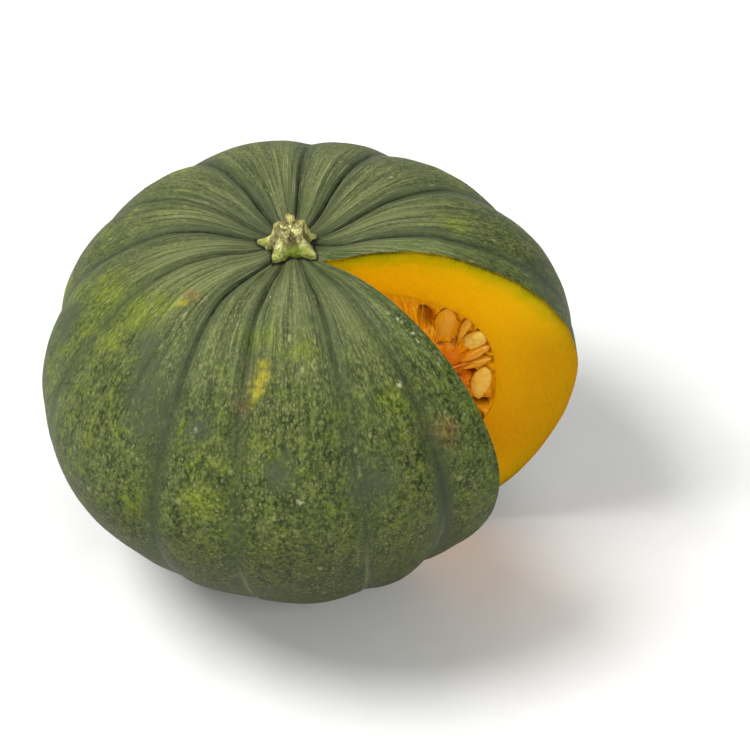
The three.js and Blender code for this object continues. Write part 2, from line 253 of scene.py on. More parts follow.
# %% The swell of the ribs
# A rib is sharp-grooved at the crown and grows softer, with deeper grooves, below it.
# The grain is a cylinder that the rind is rolled out on, so that a pattern follows
# the ribs and isn't squeezed at the poles.
GRAIN_RADIUS, GRAIN_LENGTH = 110, 285
SOFTENS, DEEPENS, TUCKS = (0.12, 0.36), (0.2, 0.6), (0.5, 0.7)
RIB_SHARPNESS, SOFT_SHARPNESS, SOFT_BOTTOM, RIB_LIFT = 0.36, 0.8, 0.05, 0.6
MEAN_GAIN, POLE_GAIN, SOFT_GAIN = 0.54, 0.2, 0.66
POLE_RADIUS, SLOPE_STEP, FAR_FROM_STEM = 26, 0.004, 99


def rib_swell(share, down):
    """How far the rib has risen between its two grooves, 0 to 1, and the gain in
    the grooves' depth at this level."""
    soft = smooth_step(down, *SOFTENS)
    bottom = SOFT_BOTTOM * soft
    sharpness = RIB_SHARPNESS + (SOFT_SHARPNESS - RIB_SHARPNESS) * soft
    swell = ((math.sin(math.pi * share) ** 2 + bottom) / (1 + bottom)) ** (sharpness / 2)
    return swell, MEAN_GAIN + POLE_GAIN * math.cos(2 * math.pi * down) + SOFT_GAIN * soft


def rind_spot(step, column):
    """Place of one corner of the rind, and what the material wants to know of it."""
    down = step - RINGS_TO_THE_POLES * math.sin(4 * math.pi * step)
    rib, share = place_in_rib(column)
    start, end = groove_azimuths(rib, down)
    azimuth = start + (end - start) * share
    outline = outline_towards(azimuth)
    rho, z = outline(down)
    (rho_a, z_a), (rho_b, z_b) = outline(down - SLOPE_STEP), outline(down + SLOPE_STEP)
    slope = math.hypot(rho_b - rho_a, z_b - z_a) or 1

    here, there = GROOVES[rib], GROOVES[(rib + 1) % len(GROOVES)]
    beside, nearest = (here, share) if share < 0.5 else (there, share - 1)
    kept = beside.kept + (1 - beside.kept) * smooth_step(down, *DEEPENS)
    depth = (here.depth + (there.depth - here.depth) * share) * kept
    swell, gain = rib_swell(share, down)
    tuck = here.tuck * swell * smooth_step(down, *TUCKS)
    near_pole = min(1, rho / POLE_RADIUS)
    out = (RIB_LIFT - tuck - depth * gain * (1 - swell)) * near_pole
    groove = nearest * (end - start) * rho
    stem_gap = rho - stem_radius(0, azimuth) if down < 0.5 else FAR_FROM_STEM
    out += near_pole * fine_relief(on_circle(rho, azimuth, z), groove, beside.twin, kept,
                                   down, azimuth, rho, stem_gap)
    rho += out * (z_a - z_b) / slope
    z += out * (rho_b - rho_a) / slope

    first = math.radians(here.azimuth)
    widest = first + share * (groove_azimuths(rib, 0.5)[1] - first)
    grain = on_circle(GRAIN_RADIUS, widest, GRAIN_LENGTH * down)
    place = on_circle(rho, azimuth, z)
    return place, abs(groove), down, grain, stem_gap, beside.depth * kept


crest, gain = rib_swell(0.5, 0.5)
print("halfway down, a rib's crest has risen by", crest, "and grooves gain", round(gain, 2))

# %% [markdown]
# ## The outer skin
# A UV sphere already has poles at the stem and at the blossom end and columns that
# run between them, just as the ribs do. Each of its corners is moved to its spot on
# the rind, and what the rind's material needs is stored with it as an attribute.

# %% Make the skin from a sphere
def sphere_grid(columns, rows):
    shape = bmesh.new()
    bmesh.ops.create_uvsphere(shape, u_segments=columns, v_segments=rows, radius=1)
    return shape


def grid_place(corner, columns):
    """Step down the sphere from 0 to 1, and the number of the column."""
    step = math.acos(min(max(corner.z, -1), 1)) / math.pi
    return step, round(math.atan2(corner.y, corner.x) / math.tau * columns) % columns


fruit = sphere_grid(FRUIT_COLUMNS, FRUIT_ROWS)
groove_layer = fruit.verts.layers.float.new("groove_mm")
down_layer = fruit.verts.layers.float.new("down")
grain_layer = fruit.verts.layers.float_vector.new("grain")
stem_layer = fruit.verts.layers.float.new("stem_mm")
strength_layer = fruit.verts.layers.float.new("groove_depth")
depth_layer = fruit.verts.layers.float.new("depth_mm")
core_layer = fruit.verts.layers.float.new("core_mm")
rim_layer = fruit.verts.layers.float.new("rim_mm")

for vert in fruit.verts:
    spot = rind_spot(*grid_place(vert.co, FRUIT_COLUMNS))
    (vert.co, vert[groove_layer], vert[down_layer], vert[grain_layer],
     vert[stem_layer], vert[strength_layer]) = spot
rind_tree = BVHTree.FromBMesh(fruit)
print("outer skin:", len(fruit.faces), "faces")

# %% [markdown]
# ## The seed hollow
# The hollow keeps to the plan of the fruit but is rounder. It is a second sphere
# inside the first with its faces turned to look inwards, so the two skins together
# are the two sides of one thick wall.

# %% Make the hollow and put it inside
# The fruit's material 0 is the rind and its material 1 the flesh.
FLESH = 1
HOLLOW_SHARE, HOLLOW_HALF_HEIGHT, HOLLOW_LEVEL, HOLLOW_FULLNESS = 0.705, 43.5, -5, 2.6
HOLLOW_COLUMNS, HOLLOW_ROWS = 104, 64


def hollow_sphere(inset):
    shape = sphere_grid(HOLLOW_COLUMNS, HOLLOW_ROWS)
    power = 2 / HOLLOW_FULLNESS
    for vert in shape.verts:
        step, column = grid_place(vert.co, HOLLOW_COLUMNS)
        azimuth, turn = math.tau * column / HOLLOW_COLUMNS, math.pi * step
        widest = FRUIT_RADIUS * HOLLOW_SHARE * waves_at(azimuth) - inset
        rho = widest * max(math.sin(turn), 0) ** power
        rise = math.copysign(abs(math.cos(turn)) ** power, math.cos(turn))
        z = HOLLOW_LEVEL + (HOLLOW_HALF_HEIGHT - inset) * rise
        vert.co = on_circle(rho, azimuth, z)
    return shape


hollow = hollow_sphere(0)
hollow_tree = BVHTree.FromBMesh(hollow)
bmesh.ops.reverse_faces(hollow, faces=hollow.faces)
for face in hollow.faces:
    face.material_index = FLESH
inner_mesh = bpy.data.meshes.new("inner_skin")
hollow.to_mesh(inner_mesh)
hollow.free()
fruit.from_mesh(inner_mesh)
bpy.data.meshes.remove(inner_mesh)
print("both skins:", len(fruit.faces), "faces")

# %% [markdown]
# ## Cutting out the wedge
# A knife made two straight cuts that meet near the stem. bisect_plane makes exactly
# such a cut: both planes slice through the two skins, the faces between them go, and
# an open edge is left that runs round the rind, along the line where the cuts meet
# and round the hollow. edgeloop_fill closes each cut with one flat face.

# %% The two planes of the knife
# The first three are how near counts as on a plane: for a test and for both cuts.
ON_PLANE, SLICE_NEAR, GRID_NEAR = 1e-3, 1e-5, 1e-4
APEX = Vector((15.2, -5.5, 0))
HALF_ANGLE = math.radians(23.2)
BEHIND_APEX = 14


def cut_face(side):
    """Outward direction along a cut, and the direction into the missing wedge."""
    angle = side * HALF_ANGLE
    out = Vector((math.cos(angle), math.sin(angle), 0))
    into = Vector((side * math.sin(angle), -side * math.cos(angle), 0))
    return out, into


def apex_moved(back):
    """Where the two cuts meet once both are moved back into the fruit."""
    return APEX - Vector((back / math.sin(HALF_ANGLE), 0, 0))


def cut_wedge(shape, back):
    apex = apex_moved(back)
    for side in (1, -1):
        near = [f for f in shape.faces if f.calc_center_median().x > apex.x - BEHIND_APEX]
        parts = set(near)
        for face in near:
            parts.update(face.edges)
            parts.update(face.verts)
        bmesh.ops.bisect_plane(shape, geom=list(parts), dist=SLICE_NEAR,
                               plane_co=apex, plane_no=cut_face(side)[1])
    inside = [
        f for f in shape.faces
        if all(cut_face(side)[1].dot(f.calc_center_median() - apex) > 0 for side in (1, -1))
    ]
    bmesh.ops.delete(shape, geom=inside, context="FACES")


def on_cut(place, side, back):
    return abs(cut_face(side)[1].dot(place - apex_moved(back))) < ON_PLANE


cut_wedge(fruit, 0)
print("open edges after the cut:", sum(e.is_boundary for e in fruit.edges))

# %% Close each cut with a face
def close_cuts(shape, back, material):
    """Fills both cuts and gives back the two new faces, by side."""
    rim = [e for e in shape.edges if e.is_boundary]
    sides = {
        side: [e for e in rim if all(on_cut(v.co, side, back) for v in e.verts)]
        for side in (1, -1)
    }
    tips = [
        v for v in {v for e in rim for v in e.verts}
        if on_cut(v.co, 1, back) and on_cut(v.co, -1, back)
    ]
    tips.sort(key=lambda v: v.co.z)
    seams = []
    for low, high in zip(tips[::2], tips[1::2]):
        seams += bmesh.ops.contextual_create(shape, geom=[low, high])["edges"]
    filled = {}
    for side, edges in sides.items():
        made = bmesh.ops.edgeloop_fill(shape, edges=edges + seams, mat_nr=material)
        filled[side] = made["faces"][0]
    print(len(tips), "tips where the cuts meet,", [len(f.verts) for f in filled.values()],
          "corners on the two cuts")
    return filled


cuts = close_cuts(fruit, 0, FLESH)
bmesh.ops.recalc_face_normals(fruit, faces=fruit.faces)

# %% [markdown]
# ## A skin for the flesh
# One huge flat face can't hold a soft edge or a colour that changes with depth. A
# narrow inset first gives the rounded shoulder where the knife left the rind, and a
# grid of further bisects then breaks the rest into small squares.

# %% Shoulder and grid on the cut faces
SHOULDER_WIDTH, SHOULDER_RISE = 0.8, 0.32
FLESH_GRID = 2.4


def grid_over(shape, faces, spacing):
    """Cuts both flat faces into squares; each plane goes through both at once."""
    corners = [v.co for f in faces for v in f.verts]
    parts = [*faces, *{e for f in faces for e in f.edges}, *{v for f in faces for v in f.verts}]
    for direction in (Vector((1, 0, 0)), Vector((0, 0, 1))):
        levels = [direction.dot(c) for c in corners]
        for i in range(1, int((max(levels) - min(levels)) / spacing)):
            place = direction * (min(levels) + i * spacing)
            parts = bmesh.ops.bisect_plane(shape, geom=parts, dist=GRID_NEAR,
                                           plane_co=place, plane_no=direction)["geom"]
    return [g for g in parts if isinstance(g, bmesh.types.BMFace)]


rings = []
for face in cuts.values():
    rings += bmesh.ops.inset_region(fruit, faces=[face], thickness=SHOULDER_WIDTH,
                                    depth=SHOULDER_RISE, use_even_offset=True,
                                    use_boundary=True)["faces"]
flesh_faces = rings + grid_over(fruit, list(cuts.values()), FLESH_GRID)
print("flesh faces:", len(flesh_faces), " open edges:", sum(e.is_boundary for e in fruit.edges))

# %% [markdown]
# ## Depth under the rind
# The flesh is green right under the rind, then yellow, then amber, and more orange
# beside the hollow. A search tree of each skin gives the distance to it from every
# corner of the cut, and the material only has to turn that number into a colour.

# %% Measure the flesh and give it a slight unevenness
KNIFE_WAVE, KNIFE_WAVE_LENGTH, HOLLOW_LIP = 0.13, 7, 1
for vert in {v for f in fruit.faces if f.material_index == FLESH for v in f.verts}:
    vert[depth_layer] = rind_tree.find_nearest(vert.co)[3]
    vert[core_layer] = hollow_tree.find_nearest(vert.co)[3]
for vert in fruit.verts:
    behind = [-cut_face(side)[1].dot(vert.co - APEX) for side in (1, -1)]
    vert[rim_layer] = max(behind) if vert.co.x > APEX.x else (vert.co - APEX).length
for side in (1, -1):
    into = cut_face(side)[1]
    for vert in {v for f in flesh_faces for v in f.verts}:
        proud = into.dot(vert.co - APEX)
        if abs(proud - SHOULDER_RISE) < ON_PLANE and vert[core_layer] > HOLLOW_LIP:
            vert.co += into * KNIFE_WAVE * noise.noise(vert.co / KNIFE_WAVE_LENGTH)
print("deepest flesh:", round(max(v[depth_layer] for v in fruit.verts), 1), "mm")

# %% [markdown]
# ## Turning a shape into a piece
# Every piece ends the same way: it goes to the row frame, gets its normals and its
# smooth shading, rides on the body and hides the imported solid it stands for.

# %% A helper that finishes a piece
SHARP_ANGLE = math.radians(50)


def finish_piece(name, shape, materials, node):
    bmesh.ops.transform(shape, matrix=TO_ROW, verts=shape.verts)
    bmesh.ops.recalc_face_normals(shape, faces=shape.faces)
    for face in shape.faces:
        face.smooth = True
    for edge in shape.edges:
        edge.smooth = edge.calc_face_angle(0) < SHARP_ANGLE
    mesh = bpy.data.meshes.new(name)
    shape.to_mesh(mesh)
    open_edges = sum(not e.is_manifold for e in shape.edges)
    shape.free()
    for material in materials:
        mesh.materials.append(material)
    piece = bpy.data.objects.new(name, mesh)
    bpy.context.scene.collection.objects.link(piece)
    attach(piece, "root")
    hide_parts(node)
    mesh.calc_loop_triangles()
    print(name, len(mesh.loop_triangles), "triangles,", open_edges, "edges not closed")
    return piece


# %% [markdown]
# ## Node groups that several materials share
# Clouds of tone turn up on the rind, in the flesh, in the pulp and on the stem, and
# drawn out they are fibres. The rind also has flecks of three kinds. Clouds are one
# node group and flecks another, built once with named inputs, and each puts out a
# mask that the material mixes its own colours with.

# %% Helpers that add nodes
def srgb(red, green, blue):
    """A colour as it is seen on screen, 0 to 255, as the linear values Blender wants."""
    def linear(value):
        value /= 255
        return value / 12.92 if value <= 0.04045 else ((value + 0.055) / 1.055) ** 2.4
    return linear(red), linear(green), linear(blue), 1.0


def put(tree, socket, value):
    if isinstance(value, bpy.types.NodeSocket):
        tree.links.new(value, socket)
    else:
        socket.default_value = value


def add(tree, kind, sockets, **settings):
    node = tree.nodes.new(kind)
    for name, value in settings.items():
        setattr(node, name, value)
    for key, value in sockets.items():
        put(tree, node.inputs[key], value)
    return node


def mixed(tree, share, below, above):
    return add(tree, "ShaderNodeMix", {0: share, 6: below, 7: above}, data_type="RGBA").outputs[2]


def step(tree, value, start, end):
    """0 up to start, 1 from end on, smooth between; start may be the larger one."""
    sockets = {"Value": value, "From Min": start, "From Max": end}
    return add(tree, "ShaderNodeMapRange", sockets, interpolation_type="SMOOTHSTEP").outputs[0]


def between(tree, share, low, high):
    """A value part of the way from one value to another."""
    return add(tree, "ShaderNodeMix", {0: share, 2: low, 3: high}, data_type="FLOAT").outputs[0]


def maths(tree, operation, first, second=0.0):
    return add(tree, "ShaderNodeMath", {0: first, 1: second}, operation=operation).outputs[0]


def times(tree, first, second):
    return maths(tree, "MULTIPLY", first, second)


def painted(tree, color, layers):
    """Lays tones over a colour, each through its own mask and with its own strength."""
    for mask, strength, tone in layers:
        color = mixed(tree, times(tree, mask, strength), color, srgb(*tone))
    return color


def attribute(tree, name, output="Fac"):
    return add(tree, "ShaderNodeAttribute", {}, attribute_name=name).outputs[output]


def millimetres(tree):
    """Object coordinates in millimetres."""
    coordinates = add(tree, "ShaderNodeTexCoord", {}).outputs["Object"]
    return add(tree, "ShaderNodeVectorMath", {0: coordinates, "Scale": 1 / MILLIMETRE},
               operation="SCALE").outputs[0]


def new_group(name, inputs, output):
    group = bpy.data.node_groups.new(name, "ShaderNodeTree")
    for label, kind in inputs:
        group.interface.new_socket(name=label, in_out="INPUT", socket_type="NodeSocket" + kind)
    group.interface.new_socket(name=output, in_out="OUTPUT", socket_type="NodeSocketFloat")
    inside, outside = group.nodes.new("NodeGroupInput"), group.nodes.new("NodeGroupOutput")
    return group, inside.outputs, outside.inputs


def stretched(tree, vector, size, stretch):
    """The vector counted in cells of one size across and a longer one along Z."""
    cell = add(tree, "ShaderNodeCombineXYZ",
               {0: size, 1: size, 2: times(tree, size, stretch)}).outputs[0]
    return add(tree, "ShaderNodeVectorMath", {0: vector, 1: cell}, operation="DIVIDE").outputs[0]


# %% Flecks: separate spots, each with its own size
def build_flecks():
    tree, inputs, outputs = new_group(
        "flecks", (("Vector", "Vector"), ("Size", "Float"), ("Stretch", "Float"),
                   ("Share", "Float")), "Mask")
    cells = stretched(tree, inputs["Vector"], inputs["Size"], inputs["Stretch"])
    voronoi = add(tree, "ShaderNodeTexVoronoi", {"Vector": cells, "Scale": 1.0}, feature="F1")
    draw = add(tree, "ShaderNodeSeparateColor", {0: voronoi.outputs["Color"]}).outputs
    radius = between(tree, draw[1], 0.25, 0.6)
    spot = step(tree, voronoi.outputs["Distance"], radius, times(tree, radius, 0.35))
    chosen = maths(tree, "LESS_THAN", draw[0], inputs["Share"])
    put(tree, outputs["Mask"], times(tree, spot, chosen))
    return tree


# %% Clouds and fibres: soft noise with a chosen contrast
def build_cloud():
    tree, inputs, outputs = new_group(
        "cloud", (("Vector", "Vector"), ("Size", "Float"), ("Stretch", "Float"),
                  ("Low", "Float"), ("High", "Float")), "Mask")
    cells = stretched(tree, inputs["Vector"], inputs["Size"], inputs["Stretch"])
    field = add(tree, "ShaderNodeTexNoise",
                {"Vector": cells, "Scale": 1.0, "Detail": 3.0, "Roughness": 0.55})
    put(tree, outputs["Mask"], step(tree, field.outputs["Fac"], inputs["Low"], inputs["High"]))
    return tree


FLECKS, CLOUD = build_flecks(), build_cloud()


def flecks(tree, vector, size, stretch, share):
    node = add(tree, "ShaderNodeGroup", {}, node_tree=FLECKS)
    for key, value in zip(("Vector", "Size", "Stretch", "Share"), (vector, size, stretch, share)):
        put(tree, node.inputs[key], value)
    return node.outputs["Mask"]


def cloud(tree, vector, size, stretch=1.0, low=0.35, high=0.65):
    node = add(tree, "ShaderNodeGroup", {}, node_tree=CLOUD)
    for key, value in zip(("Vector", "Size", "Stretch", "Low", "High"),
                          (vector, size, stretch, low, high)):
        put(tree, node.inputs[key], value)
    return node.outputs["Mask"]


def new_material(name, **sockets):
    """A material with its Principled shader, whose plain values are set here."""
    material = bpy.data.materials.new(name)
    material.use_nodes = True
    tree = material.node_tree
    shader = tree.nodes["Principled BSDF"]
    for key, value in sockets.items():
        shader.inputs[key.replace("_", " ")].default_value = value
    return material, tree, shader


def dress(tree, shader, color, roughness, height, distance, strength):
    """Gives the shader its colour, its roughness and a fine relief, in metres."""
    put(tree, shader.inputs["Base Color"], color)
    put(tree, shader.inputs["Roughness"], roughness)
    bumped = add(tree, "ShaderNodeBump",
                 {"Height": height, "Distance": distance, "Strength": strength})
    put(tree, shader.inputs["Normal"], bumped.outputs["Normal"])


print("shared node groups:", [g.name for g in bpy.data.node_groups])

# %% [markdown]
# ## The rind's material
# A kabocha's rind is layer on layer of green: a dark ground, paler clouds, thousands
# of pale flecks drawn out along the ribs, smooth grey bands beside the grooves and a
# thin dark line down each, partly the crease's own dark green and partly painted shade
# that deepens with the groove. Painted shade also darkens the lower half, and a painted
# shadow rings the foot of the stem. Sun and rubbing leave yellow, russet and bloomy
# patches. Each layer is one mask and one colour, so any of them can be tuned by itself.

# %% Patches of the rind, by place
# Each is (way down, azimuth, radius in millimetres).
YELLOW_GREEN = (
    (0.18, 240, 9), (0.205, 236, 11), (0.222, 230, 12), (0.235, 221, 10), (0.262, 235, 10),
    (0.25, 212, 12), (0.29, 222, 10), (0.31, 205, 10),
    (0.293, 319.7, 7), (0.408, 277, 8), (0.17, 284, 8), (0.19, 300, 7),
    (0.3, 70, 12), (0.24, 150, 10), (0.36, 118, 9), (0.42, 190, 12), (0.2, 35, 7),
)
YELLOW = (
    (0.208, 287.2, 3.2), (0.219, 287.0, 4.0), (0.231, 286.6, 4.0), (0.243, 286.0, 3.2),
    (0.256, 285.4, 2.4),
    (0.158, 246, 3.2), (0.33, 132, 5), (0.25, 88, 4),
)
RUSSET = (
    (0.143, 245.8, 5), (0.366, 327.9, 7), (0.262, 283.5, 4.5), (0.46, 50, 8), (0.3, 172, 5),
)
BLOOM = (
    (0.225, 249, 7), (0.25, 254, 9), (0.275, 257, 10), (0.31, 262, 12), (0.3, 274, 6),
    (0.36, 292, 8), (0.4, 310, 11),
    (0.35, 25, 14), (0.28, 105, 12), (0.38, 160, 13), (0.33, 212, 12),
)
SCARS = (
    (0.305, 273.6, 1.6), (0.312, 273.4, 1.2), (0.406, 295.8, 1.5), (0.275, 322.5, 1.5),
    (0.18, 333.0, 1.0), (0.194, 333.9, 1.3), (0.201, 334.3, 1.1), (0.214, 333.6, 0.8),
    (0.222, 334.3, 1.0), (0.236, 334.4, 1.2), (0.25, 334.0, 0.8),
)


def rind_place(down, azimuth):
    """A spot of the rind's outline in the row frame, in millimetres."""
    angle = math.radians(azimuth)
    rho, z = outline_towards(angle)(down)
    return (TO_ROW @ on_circle(rho, angle, z)) / MILLIMETRE


PATCH_EDGE, PATCH_CORE = 1.25, 0.05


def patches(tree, point, ragged, spots):
    """A mask over some spots of the rind, with edges made ragged by a noise. It fades
    from the core of each spot to its edge, both as shares of the spot's radius."""
    mask = 0.0
    for down, azimuth, radius in spots:
        away = add(tree, "ShaderNodeVectorMath",
                   {0: point, 1: rind_place(down, azimuth)}, operation="DISTANCE")
        share = maths(tree, "DIVIDE", away.outputs["Value"], radius)
        share = maths(tree, "ADD", share, ragged)
        mask = maths(tree, "MAXIMUM", step(tree, share, PATCH_EDGE, PATCH_CORE), mask)
    return mask


print("the yellow streak lies at", [round(c) for c in rind_place(*YELLOW[1][:2])], "mm")

# %% Where each layer of the rind lies
DEEP_GROOVE = 3.2


def rind_masks(tree, point):
    """Masks from 0 to 1 for the regions, patches and lines of the rind, some of them painted
    shade.
    """
    down, groove = attribute(tree, "down"), attribute(tree, "groove_mm")
    strength = maths(tree, "DIVIDE", attribute(tree, "groove_depth"), DEEP_GROOVE)
    rim = step(tree, attribute(tree, "rim_mm"), 12.0, 1.0)
    ragged = between(tree, cloud(tree, point, 3.4, low=0.2, high=0.8), -0.45, 0.45)
    chipped = between(tree, cloud(tree, point, 1.3, low=0.3, high=0.7), -0.35, 0.7)
    broken = between(tree, cloud(tree, point, 3.0, low=0.3, high=0.6), 0.45, 1.0)
    fading = between(tree, step(tree, down, 0.14, 0.36), 0.95, 0.3)
    # Dark line down each groove: its own darker green and painted shade, both stronger the deeper
    # the groove.
    line = times(tree, times(tree, step(tree, groove, 1.4, 0.3), strength), fading)
    pale_line = times(tree, step(tree, groove, 1.3, 0.2), step(tree, down, 0.5, 0.6))
    return SimpleNamespace(
        crown=step(tree, down, 0.3, 0.1),
        upper=step(tree, down, 0.42, 0.2),
        # Painted shade over the lower half of the fruit.
        below=step(tree, down, 0.4, 0.66),
        band=times(tree, step(tree, groove, 6.5, 1.0), strength),
        rim=times(tree, rim, cloud(tree, point, 9.0)),
        smooth=patches(tree, point, ragged, BLOOM),
        green=patches(tree, point, ragged, YELLOW_GREEN),
        yellow=patches(tree, point, ragged, YELLOW),
        russet=patches(tree, point, ragged, RUSSET),
        scars=patches(tree, point, chipped, SCARS),
        line=times(tree, line, broken),
        pale_line=times(tree, pale_line, broken),
        # Painted shadow on the ledge round the foot of the stem.
        ledge=step(tree, attribute(tree, "stem_mm"), 2.4, 1.0),
    )


print("patches on the rind:", sum(map(len, (YELLOW_GREEN, YELLOW, RUSSET, BLOOM, SCARS))))

# %% The dark ground and the pale net over it, region by region
def rind_tones(tree, point, grain, on):
    """Both colours, each mixed through mask, strength, dark tone and pale tone."""
    dark, pale = srgb(36, 45, 14), srgb(102, 112, 52)
    for mask, strength, dark_tone, pale_tone in (
        (cloud(tree, point, 26.0), 1.0, (42, 51, 18), (100, 110, 56)),
        (cloud(tree, point, 7.0, low=0.5, high=0.68), 0.7, (46, 60, 10), (122, 136, 40)),
        (cloud(tree, grain, 7.0, 7.0, 0.45, 0.62), 0.4, (52, 62, 24), (122, 132, 70)),
        (on.crown, 0.75, (48, 56, 26), (136, 144, 92)),
        # Painted shade: the lower half darker.
        (on.below, 0.8, (24, 30, 10), (72, 78, 38)),
        (on.rim, 0.7, (28, 48, 6), (86, 116, 30)),
        (on.green, 0.65, (52, 70, 8), (140, 154, 34)),
        (on.yellow, 0.85, (128, 122, 14), (188, 176, 50)),
        (on.russet, 0.6, (70, 52, 26), (150, 116, 58)),
        (on.smooth, 0.85, (58, 67, 46), (88, 98, 68)),
        (on.band, 0.6, (44, 52, 34), (82, 90, 62)),
    ):
        share = times(tree, mask, strength)
        dark = mixed(tree, share, dark, srgb(*dark_tone))
        pale = mixed(tree, share, pale, srgb(*pale_tone))
    return dark, pale


# %% Net, flecks and lines of the rind
# Each kind of fleck is (size, stretch, share of the cells that hold one, strength).
FLECK_KINDS = ((1.35, 1.6, 0.7, 0.55), (0.9, 1.5, 0.5, 0.4), (2.6, 1.6, 0.03, 0.9))


def rind_material():
    material, tree, shader = new_material("rind", Specular_IOR_Level=0.18)
    point, grain = millimetres(tree), attribute(tree, "grain", "Vector")
    on = rind_masks(tree, point)
    dark, pale = rind_tones(tree, point, grain, on)

    fine = cloud(tree, grain, 1.5, 1.5, 0.4, 0.6)
    coarse = cloud(tree, grain, 4.5, 1.6, 0.35, 0.65)
    streaks = cloud(tree, grain, 2.4, 16.0, 0.38, 0.62)
    ridges = cloud(tree, grain, 5.5, 16.0, 0.38, 0.62)
    net = between(tree, 0.42, fine, coarse)
    net = between(tree, times(tree, on.crown, 0.6), net, streaks)
    net = between(tree, times(tree, on.crown, 0.5), net, ridges)
    bare = maths(tree, "MAXIMUM", times(tree, on.smooth, 0.85), times(tree, on.band, 0.7))
    # The painted shade on the lower half also flattens the pale net there.
    bare = maths(tree, "MAXIMUM", bare, times(tree, on.below, 0.35))
    net = between(tree, bare, net, 0.4)
    color = mixed(tree, times(tree, net, 0.87), dark, pale)

    speckled = between(tree, cloud(tree, point, 15.0, low=0.3, high=0.6), 0.45, 1.0)
    speckled = times(tree, speckled, maths(tree, "SUBTRACT", 1.0, bare))
    bright = mixed(tree, 0.35, pale, srgb(176, 180, 124))
    for size, stretch, share, strength in FLECK_KINDS:
        mask = times(tree, flecks(tree, grain, size, stretch, share), strength)
        color = mixed(tree, times(tree, mask, speckled), color, bright)
    dashes = times(tree, flecks(tree, grain, 1.7, 9.0, 0.4), on.crown)
    drawn = times(tree, cloud(tree, grain, 2.2, 22.0, 0.55, 0.66), on.upper)
    color = painted(tree, color, (
        (dashes, 0.35, (160, 168, 122)),
        (drawn, 0.45, (44, 52, 28)),
        (on.scars, 0.85, (184, 184, 144)),
        # The dark crease line, partly the groove's own colour and partly painted shade.
        (on.line, 1.0, (40, 44, 26)),
        (on.pale_line, 0.3, (144, 148, 112)),
        # Painted shadow round the foot of the stem.
        (on.ledge, 1.0, (34, 35, 22)),
    ))
    rough = between(tree, maths(tree, "MAXIMUM", on.smooth, net), 0.5, 0.66)
    height = maths(tree, "ADD", net, between(tree, on.crown, fine, streaks))
    dress(tree, shader, color, rough, height, 0.00028, 0.7)
    return material


RIND_MATERIAL = rind_material()
print("rind nodes:", len(RIND_MATERIAL.node_tree.nodes))

# %% [markdown]
# ## The flesh's material
# Fresh flesh is wet and lets a little light in, so it gets some subsurface light and
# a soft gloss. Its colour follows the two distances that were measured on the cut,
# and a noise pushes the borders about so that none of them is a clean line. Painted
# shade darkens the cut towards the bottom and on its outer part.

# %% Flesh from green rim to orange heart
# Tones by depth under the rind, each at its share of the ramp's whole depth.
RAMP_DEPTH = 16.0
RIND_TO_FLESH = (
    (0.0, (36, 44, 12)), (0.045, (66, 74, 8)), (0.08, (136, 138, 2)),
    (0.18, (184, 168, 0)), (0.42, (230, 180, 0)), (0.75, (240, 178, 0)),
)


def flesh_material():
    material, tree, shader = new_material(
        "flesh", Subsurface_Weight=0.12, Subsurface_Scale=0.003,
        Subsurface_Radius=(1.0, 0.45, 0.1), Specular_IOR_Level=0.03)
    point = millimetres(tree)
    wander = between(tree, cloud(tree, point, 7.0, low=0.1, high=0.9), 0.78, 1.22)
    depth, core = times(tree, attribute(tree, "depth_mm"), wander), attribute(tree, "core_mm")
    ramp = add(tree, "ShaderNodeValToRGB", {0: maths(tree, "DIVIDE", depth, RAMP_DEPTH)})
    tones = ramp.color_ramp.elements
    while len(tones) < len(RIND_TO_FLESH):
        tones.new(0.5)
    for element, (place, tone) in zip(tones, RIND_TO_FLESH):
        element.position, element.color = place, srgb(*tone)

    across, _, level = add(tree, "ShaderNodeSeparateXYZ", {0: point}).outputs
    # Painted shade on the outer part of the cut, below its top.
    outer_shade = times(tree, step(tree, across, 64.0, 100.0), step(tree, level, 116.0, 84.0))
    # Painted shade at the bottom of the cut, beside the hollow.
    low = times(tree, step(tree, level, 66.0, 26.0), step(tree, core, 26.0, 0.0))
    fibres = cloud(tree, point, 0.8, 3.0, 0.3, 0.7)
    color = painted(tree, ramp.outputs["Color"], (
        (cloud(tree, point, 9.0), 0.25, (242, 184, 0)),
        (step(tree, core, 9.0, 0.5), 0.4, (230, 156, 0)),
        (outer_shade, 0.8, (178, 130, 0)),
        # Painted shade, darker towards the bottom of the cut.
        (step(tree, level, 112.0, 40.0), 0.36, (180, 118, 0)),
        (low, 0.75, (178, 100, 0)),
        (fibres, 0.12, (236, 190, 40)),
    ))
    rough = between(tree, cloud(tree, point, 2.0), 0.36, 0.5)
    height = maths(tree, "ADD", fibres, cloud(tree, point, 2.2))
    dress(tree, shader, color, rough, height, 0.00012, 0.6)
    return material


FLESH_MATERIAL = flesh_material()
print("flesh nodes:", len(FLESH_MATERIAL.node_tree.nodes))

# %% Finish the fruit
finish_piece("fruit_body", fruit, (RIND_MATERIAL, FLESH_MATERIAL), "fruit")
fruit_mesh = bpy.data.objects["fruit_body"].data
for corner in fruit_mesh.vertices:
    corner.co.z = max(corner.co.z, 0)
fruit_mesh.update()
print("the fruit stands on", sum(v.co.z == 0 for v in fruit_mesh.vertices), "corners")

# %% [markdown]
# ## The seeds' places
# The seeds sit side by side along the wall of the hollow with their blunt ends out,
# and point towards a hub. Some show their flat side and some their edge. The rule
# walks down the wall and gives each seed as much of it as it needs, so the seeds
# never pile up, and a seeded draw gives each its own small tilt.

